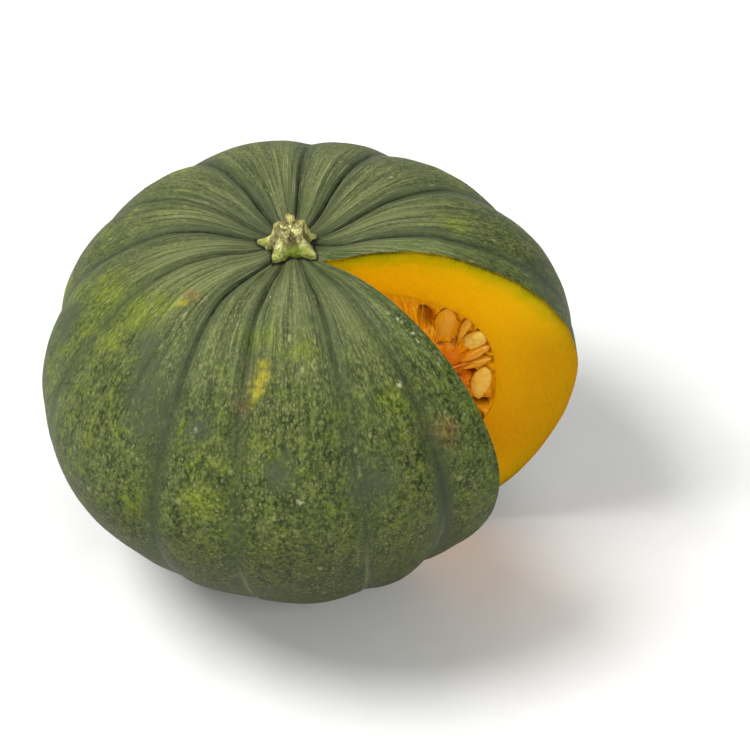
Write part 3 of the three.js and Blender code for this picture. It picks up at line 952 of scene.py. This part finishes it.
# %% Draws that come out the same on every run
def random_from(state):
    """Draws from 0 to 1, mixed from a counter by shifts and products of 32 bits."""
    whole = 0xFFFFFFFF

    def draw():
        nonlocal state
        state = (state + 0x6D2B79F5) & whole
        t = ((state ^ (state >> 15)) * (1 | state)) & whole
        t = ((t + (((t ^ (t >> 7)) * (61 | t)) & whole)) & whole) ^ t
        return ((t ^ (t >> 14)) & whole) / (whole + 1)
    return draw


print("a first draw:", round(random_from(1)(), 3))

# %% The wall of the hollow, and how many seeds it has room for
# On a cut, s runs outwards from the line where the cuts meet and z runs upwards. The
# hub is given as (s, z); edges are in degrees, 0 for a seed that lies flat on the cut.
SEED_LENGTH, SEED_WIDTH, SEED_THICKNESS = 17.5, 9.4, 3.2
FAN_WALL, FAN_HUB, FAN_START, FAN_GAP, FAN_STEP = 62.3, (37, -8), 7, 1.5, 0.25
ON_EDGE = (30, 75, 10, 60, 35, 0, 80, 12, 85, 72, 100, 5, 70, 20, 80, 0, 65, 25, 85, 10)


def wall_at(degrees):
    power = 2 / HOLLOW_FULLNESS
    c, s = math.cos(math.radians(degrees)), math.sin(math.radians(degrees))
    z = HOLLOW_LEVEL + HOLLOW_HALF_HEIGHT * math.copysign(abs(s) ** power, s)
    return Vector((FAN_WALL * max(c, 0) ** power, z))


def fan_angles(edges):
    angles, degrees, needed, last = [], 90, FAN_START, wall_at(90)
    for edge in edges:
        lying = abs(math.cos(math.radians(edge)))
        room = SEED_THICKNESS + (SEED_WIDTH - SEED_THICKNESS) * lying + FAN_GAP
        needed += room / 2
        while needed > 0 and degrees > -90:
            degrees -= FAN_STEP
            here = wall_at(degrees)
            needed -= (here - last).length
            last = here
        if degrees > -90:
            angles.append(degrees)
        needed += room / 2
    return angles


print("seeds along the wall of one cut:", len(fan_angles(ON_EDGE)))

# %% The rule that lays the seeds
Seed = namedtuple("Seed", "side s z level lie tilt edge tint")
SEED_LEVEL, SEED_TO_WALL, RANDOM_SEED = -2.6, 1.6, 20
LIE_SPREAD, INNER_LIE_SPREAD, BACK_SPREAD, LEVEL_SPREAD, TILT_SPREAD = 0.08, 0.1, 0.8, 0.5, 0.12
# Seeds that came loose from the wall: direction from the hub, distance, edge.
INNER_SEEDS = ((100, 15, 20), (72, 17, 70), (-60, 15, 30), (-92, 17, 60), (165, 20, 10))


def seed_places():
    random = random_from(RANDOM_SEED)
    places = []

    def spread(size):
        return (random() - 0.5) * 2 * size

    def lay(side, s, z, lie, edge):
        places.append(Seed(side, s, z, SEED_LEVEL + spread(LEVEL_SPREAD), lie,
                           spread(TILT_SPREAD), edge, random()))

    for side in (1, -1):
        edges = ON_EDGE if side > 0 else ON_EDGE[::-1]
        for degrees, edge in zip(fan_angles(edges), edges):
            wall = wall_at(degrees)
            lie = math.atan2(wall.y - FAN_HUB[1], wall.x - FAN_HUB[0]) + spread(LIE_SPREAD)
            back = SEED_LENGTH / 2 + SEED_TO_WALL + spread(BACK_SPREAD)
            lay(side, wall.x - back * math.cos(lie), wall.y - back * math.sin(lie), lie, edge)
        for degrees, far, edge in INNER_SEEDS:
            lie = math.radians(degrees) + spread(INNER_LIE_SPREAD)
            lay(side, FAN_HUB[0] + far * math.cos(lie), FAN_HUB[1] + far * math.sin(lie),
                lie, edge)
    return places


# %% The seeds that the photograph shows on the far cut
# Each is s, z, lie, tilt, edge, level, tint. They take the place of those that the
# rule lays on that stretch.
SEEN_SEEDS = (
    (45.0, 18.6, 80, 0.12, 12, -2.6, 0.9), (52.4, 16.8, 66, 0.1, 78, -3.4, 0.7),
    (55.0, 8.8, 50, 0.24, 8, -3.2, 0.1), (55.4, 3.4, 35, 0.1, 80, -3.6, 0.75),
    (55.2, -0.9, 24, 0.1, 84, -3.8, 0.8), (57.6, -11.2, 79, 0.08, 10, -2.6, 0.45),
)


def on_seen_stretch(seed):
    outer, top = seed.s > 32 and -19 < seed.z < 30, seed.s > 18 and seed.z > 14
    return seed.side == 1 and (outer or top)


SEED_PLACES = [seed for seed in seed_places() if not on_seen_stretch(seed)]
for s, z, lie, tilt, edge, level, tint in SEEN_SEEDS:
    SEED_PLACES.append(Seed(1, s, z, level, math.radians(lie), tilt, edge, tint))
print(len(SEED_PLACES), "seeds on the two cut faces")

# %% [markdown]
# ## The pulp
# What is left in the hollow is a mass of wet strings, cut a hair deeper than the
# flesh because the knife drags it. It starts as the hollow's own shape, cut by the
# same two planes moved back. Its cut faces then get a fine grid that is pushed in
# between the strings, round each seed and where a seed fell out, and the strength of
# the painted shade in those gaps is stored with each spot.

# %% Cut the pulp's body
PULP_GAP, PULP_EDGE_RECESS = 0.05, 0.3
PULP_GRID = 0.95
pulp = hollow_sphere(PULP_GAP)
pulp_tree = BVHTree.FromBMesh(pulp)
cut_wedge(pulp, PULP_EDGE_RECESS)
pulp_cuts = close_cuts(pulp, PULP_EDGE_RECESS, 0)
bmesh.ops.recalc_face_normals(pulp, faces=pulp.faces)
pulp_faces = grid_over(pulp, list(pulp_cuts.values()), PULP_GRID)
print("pulp faces on the cuts:", len(pulp_faces))

# %% How deep the pulp lies at a spot of a cut face
PULP_DEPTH, PULP_SLOPE, SEED_BED = 0.8, 5.0, 1.9
HEART_DEPTH, HEART_RADIUS = 2.0, 15
STRING_HEIGHT, STRING_SHADE = 0.6, 0.35
# Waves of the strings: how many round the hub, length, shift from side to side, share.
STRING_WAVES = ((9, 18, 7, 1.0), (24, 9, 3, 0.6))
MOAT_DEPTH, MOAT_WIDTH, MOAT_AWAY, MOAT_PATCH = 1.1, 0.5, 0.3, 5
SEED_TAPER, SEED_REACH = 0.35, 14
# Pockets that lost their seed: side, s, z, half length, half width, depth, darkness of the
# painted shadow inside.
EMPTY_POCKETS = (
    (1, 37.0, 23.0, 3.4, 6.2, 4.2, 0.55), (1, 55.6, -19.6, 4.6, 2.8, 5.4, 1.0),
    (1, 53.6, -4.9, 3.2, 1.3, 4.5, 1.0), (1, 59.4, 8.9, 0.8, 1.6, 2.0, 0.7),
    (1, 59.3, 2.8, 1.9, 0.8, 2.0, 0.8), (1, 54.6, 21.0, 0.8, 1.8, 2.0, 0.8),
    (1, 57.6, 15.4, 0.8, 1.6, 2.0, 0.6),
    (-1, 30.5, 25.5, 7.0, 4.2, 3.8, 0.8), (-1, 50.5, -19.0, 6.0, 3.6, 4.0, 1.0),
)


def seed_edge(seed, s, z):
    """Roughly how far outside a seed's outline a spot of its cut face is."""
    roll, ds, dz = math.radians(seed.edge), s - seed.s, z - seed.z
    half_width = (SEED_WIDTH * abs(math.cos(roll)) + SEED_THICKNESS * abs(math.sin(roll))) / 2
    along = (ds * math.cos(seed.lie) + dz * math.sin(seed.lie)) / (SEED_LENGTH / 2)
    across = (dz * math.cos(seed.lie) - ds * math.sin(seed.lie)) / half_width
    return (math.hypot(along, across * (1 + SEED_TAPER * along)) - 1) * half_width


def hub_place(s, z):
    """Angle round the hub of the fan, and distance from it."""
    return math.atan2(z - FAN_HUB[1], s - FAN_HUB[0]), math.hypot(s - FAN_HUB[0], z - FAN_HUB[1])


def pulp_pit(side, s, z, wall_gap):
    """How deep a spot lies below the plane the pulp was cut on, and how dark its painted shade
    is.
    """
    angle, far = hub_place(s, z)
    strings = sum(
        share * noise.noise(Vector((angle * count, far / length, shift * side)))
        for count, length, shift, share in STRING_WAVES
    )
    depth = PULP_DEPTH * smooth_step(wall_gap, 0, PULP_SLOPE)
    depth -= STRING_HEIGHT * strings * smooth_step(wall_gap, 0.5, 4)
    depth += HEART_DEPTH * (1 - smooth_step(far, 0, HEART_RADIUS))
    # Painted shade in the gaps between the strings.
    pit = STRING_SHADE * max(0, -strings) * smooth_step(wall_gap, 1, 5)
    uneven = 0.55 + 0.9 * noise.noise(Vector((s / MOAT_PATCH, z / MOAT_PATCH, side)))
    for seed in SEED_PLACES:
        if seed.side == side and max(abs(seed.s - s), abs(seed.z - z)) <= SEED_REACH:
            away = seed_edge(seed, s, z) - MOAT_AWAY
            # A moat round each seed, pushed in and darkened with painted shade.
            moat = math.exp(-((away / MOAT_WIDTH) ** 2)) * min(max(uneven, 0.1), 0.8)
            pit = max(pit, moat)
            depth = max(depth, SEED_BED) if away < 0 else depth
    for pocket_side, pocket_s, pocket_z, half_s, half_z, deep, darkness in EMPTY_POCKETS:
        if pocket_side == side:
            reach = math.hypot((s - pocket_s) / half_s, (z - pocket_z) / half_z)
            inside = 1 - smooth_step(reach, 0.6, 1.1)
            depth += inside * deep
            # Painted shadow in an empty pocket, full in its upper half and at the given darkness
            # lower down.
            shaded = darkness + (1 - darkness) * smooth_step(z - pocket_z, 0, half_z)
            pit = max(pit, inside * shaded)
    return max(0, depth) + MOAT_DEPTH * pit * smooth_step(wall_gap, 0, 2.5), pit


print("the pulp at its hub is", round(pulp_pit(1, *FAN_HUB, 20)[0], 1), "mm deep")

# %% Push the pulp's faces in
HEART_FADES, NEAR_WALL, WALL_SLOPE = (9, 27), (0.5, 5), 0.6
THREADS_ROUND, SIDES_APART = 26, 40
pit_and_shade_layer = pulp.verts.layers.float.new("pit")
heart_layer = pulp.verts.layers.float.new("heart")
wall_layer = pulp.verts.layers.float.new("near_wall")
string_layer = pulp.verts.layers.float_vector.new("strings")
moved = {}
for side in (1, -1):
    out, into = cut_face(side)
    for vert in {v for f in pulp_faces for v in f.verts if on_cut(v.co, side, PULP_EDGE_RECESS)}:
        s, z = out.dot(vert.co - APEX), vert.co.z
        gap = pulp_tree.find_nearest(vert.co)[3]
        depth, vert[pit_and_shade_layer] = pulp_pit(side, s, z, gap)
        angle, far = hub_place(s, z)
        vert[heart_layer] = 1 - smooth_step(far, *HEART_FADES)
        vert[wall_layer] = 1 - smooth_step(gap, *NEAR_WALL)
        vert[string_layer] = (angle * THREADS_ROUND, side * SIDES_APART, far)
        way = -into
        if on_cut(vert.co, -side, PULP_EDGE_RECESS):
            way = Vector((-1 / math.sin(HALF_ANGLE), 0, 0))
        moved[vert] = way * depth * min(1, gap / WALL_SLOPE)
for vert, shift in moved.items():
    vert.co += shift
print("pulp corners moved:", len(moved))

# %% [markdown]
# ## The pulp's material
# Wet pulp is see-through amber where it is thin. The gaps get a red-brown painted
# shade that follows the value stored for each pit and its shade, and noise drawn out
# along the strings gives the fine threads that are too thin to be worth geometry.

# %% Pulp and its strings
def pulp_material(name, low, high, dark):
    material, tree, shader = new_material(
        name, Subsurface_Weight=0.2, Subsurface_Scale=0.003,
        Subsurface_Radius=(1.0, 0.4, 0.08), Specular_IOR_Level=0.2)
    point = millimetres(tree)
    threads = cloud(tree, attribute(tree, "strings", "Vector"), 0.8, 9.0, 0.38, 0.62)
    color = painted(tree, mixed(tree, threads, srgb(*low), srgb(*high)), (
        (cloud(tree, point, 6.0), 0.4, (228, 128, 0)),
        (attribute(tree, "near_wall"), 0.85, (238, 170, 0)),
        (attribute(tree, "heart"), 0.8, (232, 98, 0)),
        # Painted shade in the gaps, moats and empty pockets.
        (step(tree, attribute(tree, "pit"), 0.15, 0.9), 0.92, dark),
    ))
    rough = between(tree, cloud(tree, point, 1.5), 0.24, 0.42)
    dress(tree, shader, color, rough, threads, 0.0003, 0.8)
    return material


# The last colour is the painted shade in the pulp's gaps.
PULP_MATERIAL = pulp_material("pulp", (230, 148, 0), (250, 190, 8), (76, 26, 0))
finish_piece("pulp_body", pulp, (PULP_MATERIAL,), "seed_pulp")

# %% [markdown]
# ## The seeds
# A squash seed is a flat teardrop with a raised rim all round and a gently crowned
# middle. A small sphere is pressed into that shape: the outline sets its width, and
# the thickness dips just inside the rim. A copy is then laid in each place.

# %% One seed
SEED_COLUMNS, SEED_ROWS = 28, 20
RIM_DIP, RIM_DIP_AT, RIM_DIP_WIDTH = 0.45, 0.8, 0.1
seed_shape = sphere_grid(SEED_COLUMNS, SEED_ROWS)
seed_rim_layer = seed_shape.verts.layers.float.new("rim")
seed_shape.verts.layers.float.new("tint")
for vert in seed_shape.verts:
    down, column = grid_place(vert.co, SEED_COLUMNS)
    around = math.tau * column / SEED_COLUMNS
    full = max(math.sin(math.pi * down ** 0.8), 0) ** 0.7
    across = math.cos(around)
    edge = max(abs(across), abs(2 * down - 1) ** 3)
    waist = 1 - RIM_DIP * math.exp(-(((edge - RIM_DIP_AT) / RIM_DIP_WIDTH) ** 2))
    vert[seed_rim_layer] = smooth_step(edge, 0.7, 0.92)
    vert.co = (SEED_LENGTH * (0.5 - down), SEED_WIDTH / 2 * full * across,
               SEED_THICKNESS / 2 * full ** 0.8 * math.sin(around) * waist)
seed_mesh = bpy.data.meshes.new("one_seed")
seed_shape.to_mesh(seed_mesh)
seed_shape.free()
print("one seed:", len(seed_mesh.polygons), "faces")

# %% Lay a seed in each place
# No seed stands proud of the knife's cut or comes nearer to the wall than its gap.
KNIFE_LIMIT, SEED_GAP = -0.5, 0.3
seeds = bmesh.new()


def keep_off_wall(vert, gap):
    wall, normal, _, _ = pulp_tree.find_nearest(vert.co)
    if (vert.co - wall).dot(normal) > -gap:
        vert.co = wall - normal * gap


for side, s, z, level, lie, tilt, edge, tint in SEED_PLACES:
    out, into = cut_face(side)
    centre = APEX + out * s + into * level
    centre.z = z
    along = out * math.cos(lie) + into * tilt
    along.z = math.sin(lie) + into.z * tilt
    along.normalize()
    across = into.cross(along).normalized()
    turn = Matrix((along, across, along.cross(across))).transposed().to_4x4()
    roll = Matrix.Rotation(math.radians(edge * side), 4, "X")
    known = len(seeds.verts)
    seeds.from_mesh(seed_mesh)
    seeds.verts.ensure_lookup_table()
    own = seeds.verts[known:]
    bmesh.ops.transform(seeds, matrix=Matrix.Translation(centre) @ turn @ roll, verts=own)
    own_tint = seeds.verts.layers.float["tint"]
    for vert in own:
        vert[own_tint] = tint
        proud = into.dot(vert.co - APEX)
        if proud > KNIFE_LIMIT:
            vert.co += into * (KNIFE_LIMIT - proud)
        keep_off_wall(vert, SEED_GAP)
bpy.data.meshes.remove(seed_mesh)
print("seeds:", len(seeds.faces), "faces")

# %% Seed material: cream with a golden film
def seed_material():
    material, tree, shader = new_material(
        "seed_skin", Subsurface_Weight=0.1, Subsurface_Scale=0.002,
        Subsurface_Radius=(1.0, 0.7, 0.2), Specular_IOR_Level=0.22)
    point = millimetres(tree)
    color = mixed(tree, attribute(tree, "tint"), srgb(250, 220, 104), srgb(226, 154, 2))
    film = cloud(tree, point, 2.6, low=0.4, high=0.7)
    color = painted(tree, color, (
        (film, 0.45, (220, 144, 12)),
        (attribute(tree, "rim"), 0.55, (214, 146, 16)),
    ))
    rough = between(tree, cloud(tree, point, 1.2), 0.28, 0.45)
    dress(tree, shader, color, rough, film, 0.00015, 0.6)
    return material


finish_piece("seeds", seeds, (seed_material(),), "seed_pulp")

# %% [markdown]
# ## Loose strings
# Thin strings run from the hub to the wall between the seeds, just under the cut.
# Each is a slim cone that is cut into short lengths and then bent by a noise, which
# is quicker than a curve and leaves a closed mesh. A noise of vectors starts from the
# clock unless it is given a seed, so it gets one, and every run bends them alike.

# %% Lay the strings
STRING_COUNT, STRING_CUTS, STRING_DRAWS = 14, 9, 7
STRING_FAN, ROOT_SPREAD_S, ROOT_SPREAD_Z = 172, 12, 24
STRING_LEVEL, LEVEL_ROOM, ROOT_LOWER, TIP_HIGHER = -3.0, 1.6, 0.4, 0.9
THINNEST, THICKNESS_ROOM, THIN_END = 0.25, 0.35, 0.6
TIP_TO_WALL, STRING_GAP = 0.8, 0.1
DRIFT_ACROSS, DRIFT_DEEP, BENDS = 2.6, 0.9, 3.2
strings_shape = bmesh.new()
strings_heart = strings_shape.verts.layers.float.new("heart")
strings_way = strings_shape.verts.layers.float_vector.new("strings")
draw = random_from(STRING_DRAWS)
noise.seed_set(STRING_DRAWS)
for side in (1, -1):
    out, into = cut_face(side)
    for i in range(STRING_COUNT):
        wall = wall_at(STRING_FAN * (0.5 - (i + draw()) / STRING_COUNT))
        root_s = FAN_HUB[0] + ROOT_SPREAD_S * (draw() - 0.5)
        root_z = FAN_HUB[1] + ROOT_SPREAD_Z * (draw() - 0.5)
        level = STRING_LEVEL + LEVEL_ROOM * draw()
        root = APEX + out * root_s + into * (level - ROOT_LOWER)
        root.z = root_z
        tip = APEX + out * (wall.x - TIP_TO_WALL) + into * (level + TIP_HIGHER)
        tip.z = wall.y
        length = (tip - root).length
        thick = THINNEST + THICKNESS_ROOM * draw()
        turn = (tip - root).to_track_quat("Z", "Y").to_matrix().to_4x4()
        known = len(strings_shape.verts)
        made = bmesh.ops.create_cone(strings_shape, cap_ends=True, segments=5, radius1=thick,
                                     radius2=thick * THIN_END, depth=length)["verts"]
        long_edges = {e for v in made for e in v.link_edges
                      if abs(e.verts[0].co.z - e.verts[1].co.z) > length / 2}
        bmesh.ops.subdivide_edges(strings_shape, edges=list(long_edges), cuts=STRING_CUTS)
        strings_shape.verts.ensure_lookup_table()
        own = strings_shape.verts[known:]
        for vert in own:
            t = vert.co.z / length + 0.5
            drift = noise.noise_vector(Vector((t * BENDS, i * 1.7, side * 9)))
            bend = Vector((drift.x * DRIFT_ACROSS, drift.y * DRIFT_DEEP, 0))
            vert.co += bend * (4 * t * (1 - t))
            vert[strings_heart] = 1 - t
            vert[strings_way] = (i, side, vert.co.z)
        place = Matrix.Translation((root + tip) / 2) @ turn
        bmesh.ops.transform(strings_shape, matrix=place, verts=own)
for vert in strings_shape.verts:
    keep_off_wall(vert, STRING_GAP)
STRING_MATERIAL = pulp_material("pulp_strings", (226, 146, 2), (240, 182, 20), (176, 88, 4))
finish_piece("pulp_strings", strings_shape, (STRING_MATERIAL,), "seed_pulp")

# %% [markdown]
# ## The stem
# The stub that is left of the stem is cork: five pillars that spread into feet, with
# deep furrows between them and a broken, dished top. A sphere is again the easiest
# start, since its top pole becomes the middle of the dish and its rows run down the
# pillars into the rind.

# %% Shape the stem
STEM_COLUMNS, STEM_ROWS = 180, 110
DISH_SHARE, DISH_DEPTH, DISH_GRAIN = 0.2, 2.6, 0.5
BROKEN_TOWARDS, BROKEN_WIDTH, BROKEN_DROP = math.radians(300), 0.6, 3.4
# Waves of the rim: how many, height, shift. Lumps of the cork: height, size, length.
RIM_WAVES, RAGGED_RISE = ((2, 0.27, 0.6), (3, 0.18, 0)), 1.3
CORK_LUMPS = ((1.5, 4.2, 6), (0.7, 1.5, 4), (0.3, 0.8, 0.8))


def stem_spot(step_down, azimuth):
    """A corner of the stem, its height, its furrow and how near it is to the break."""
    broken = near_angle(azimuth, BROKEN_TOWARDS, BROKEN_WIDTH)
    top = STEM_HEIGHT + sum(rise * math.cos(count * azimuth + shift)
                            for count, rise, shift in RIM_WAVES)
    top += RAGGED_RISE * noise.noise(on_circle(3.2, azimuth, 2)) - BROKEN_DROP * broken
    if step_down < DISH_SHARE:
        inward = (step_down / DISH_SHARE) ** 0.8
        height = STEM_HEIGHT + (top - STEM_HEIGHT) * inward - DISH_DEPTH * (1 - inward ** 3)
        radius = stem_radius(STEM_HEIGHT, azimuth) * inward
    else:
        drop = (step_down - DISH_SHARE) / (1 - DISH_SHARE)
        height = top * (1 - drop ** 0.8) - STEM_SUNK * drop ** 4
        radius = stem_radius(height, azimuth) * (1 - 0.95 * smooth_step(drop, 0.94, 1))
    point = on_circle(radius, azimuth, height)
    cork = sum(
        rise * noise.noise(Vector((point.x / size, point.y / size, point.z / length)))
        for rise, size, length in CORK_LUMPS
    )
    if step_down < DISH_SHARE:
        height += DISH_GRAIN * noise.noise(point / 1.3 + Vector((9, 0, 0)))
    radius = max(0, radius + cork * min(1, radius / 3))
    # Darkness of the furrows: the cork's own colour and painted shade, a little stronger on the
    # broken side.
    furrow = smooth_step(stem_ridge(azimuth), 0.1, -0.9) * (0.75 + 0.25 * broken)
    return on_circle(radius, azimuth, CROWN_LEVEL + height), height, furrow, broken


stem = sphere_grid(STEM_COLUMNS, STEM_ROWS)
height_layer = stem.verts.layers.float.new("height_mm")
furrow_layer = stem.verts.layers.float.new("furrow")
broken_layer = stem.verts.layers.float.new("broken")
for vert in stem.verts:
    step_down, column = grid_place(vert.co, STEM_COLUMNS)
    spot = stem_spot(step_down, math.tau * column / STEM_COLUMNS)
    vert.co, vert[height_layer], vert[furrow_layer], vert[broken_layer] = spot
print("the stem rises", round(max(v[height_layer] for v in stem.verts), 1), "mm")

# %% Stem material: corky pillars, furrows darkened with the cork's own colour and painted shade, green feet
def stem_material():
    material, tree, shader = new_material("stem_cork", Specular_IOR_Level=0.3)
    point, height = millimetres(tree), attribute(tree, "height_mm")
    moss = times(tree, step(tree, height, 3.4, 1.2), attribute(tree, "broken"))
    color = mixed(tree, cloud(tree, point, 1.5, 2.5, 0.4, 0.6),
                  srgb(168, 164, 90), srgb(240, 236, 168))
    color = painted(tree, color, (
        (step(tree, height, 4.0, 0.0), 0.55, (160, 170, 64)),
        (step(tree, height, 7.6, 9.2), 0.6, (206, 182, 124)),
        # The cork's darker furrows together with painted shade.
        (attribute(tree, "furrow"), 0.88, (72, 64, 28)),
        (cloud(tree, point, 1.1, 2.2, 0.53, 0.63), 0.55, (86, 72, 36)),
        (moss, 0.85, (124, 142, 40)),
    ))
    rough = between(tree, cloud(tree, point, 1.0), 0.65, 0.9)
    dress(tree, shader, color, rough, cloud(tree, point, 0.5, 2.0), 0.0003, 0.8)
    return material


finish_piece("stem_stub", stem, (stem_material(),), "stem")

# %% [markdown]
# ## Floor, light and camera
# A plain pale floor and large soft lamps show the form without hard shadows. The
# camera stands where the photograph was taken from: a little over a metre away,
# looking down at about 39 degrees.

# %% A pale floor
FLOOR_HALF_WIDTH = 6
floor_shape = bmesh.new()
bmesh.ops.create_grid(floor_shape, x_segments=2, y_segments=2, size=FLOOR_HALF_WIDTH)
floor_mesh = bpy.data.meshes.new("floor")
floor_shape.to_mesh(floor_mesh)
floor_shape.free()
floor_material, floor_tree, floor_shader = new_material("pale_floor", Roughness=0.9)
paper = cloud(floor_tree, millimetres(floor_tree), 40.0)
put(floor_tree, floor_shader.inputs["Base Color"],
    mixed(floor_tree, paper, srgb(240, 240, 238), srgb(243, 243, 241)))
floor_mesh.materials.append(floor_material)
floor = bpy.data.objects.new("floor", floor_mesh)
bpy.context.scene.collection.objects.link(floor)

# %% Soft studio light
# Each lamp is (name, place, width in metres, power in watts).
LAMPS = (
    ("key", (-0.85, -0.45, 1.5), 0.9, 30),
    ("fill", (1.2, -0.9, 0.9), 1.0, 12),
    ("back", (-0.3, 1.3, 1.3), 1.0, 7),
)
LAMP_AIM = Vector((0, 0, 0.06))
for name, place, width, power in LAMPS:
    lamp = bpy.data.lights.new(name, "AREA")
    lamp.shape, lamp.size, lamp.energy = "DISK", width, power
    holder = bpy.data.objects.new(name, lamp)
    holder.location = place
    holder.rotation_euler = (LAMP_AIM - Vector(place)).to_track_quat("-Z", "Y").to_euler()
    bpy.context.scene.collection.objects.link(holder)
world = bpy.data.worlds.new("studio")
world.use_nodes = True
sky = world.node_tree.nodes["Background"].inputs
sky["Color"].default_value, sky["Strength"].default_value = srgb(250, 250, 250), 0.33
bpy.context.scene.world = world
bpy.context.scene.view_settings.view_transform = "Standard"
print("lamps:", [name for name, *_ in LAMPS])

# %% The camera
CAMERA_PLACE = Vector((0.35259, -0.70417, 0.69161))
CAMERA_WAY = Vector((-0.3232, 0.7125, -0.6228))
SENSOR_WIDTH, FOCAL_LENGTH = 36, 122.14
camera_data = bpy.data.cameras.new("camera")
camera_data.sensor_width, camera_data.lens = SENSOR_WIDTH, FOCAL_LENGTH
camera = bpy.data.objects.new("camera", camera_data)
camera.location = CAMERA_PLACE
camera.rotation_euler = CAMERA_WAY.to_track_quat("-Z", "Y").to_euler()
bpy.context.scene.collection.objects.link(camera)
bpy.context.scene.camera = camera
print("camera", round(CAMERA_PLACE.length, 2), "m from the squash's foot")
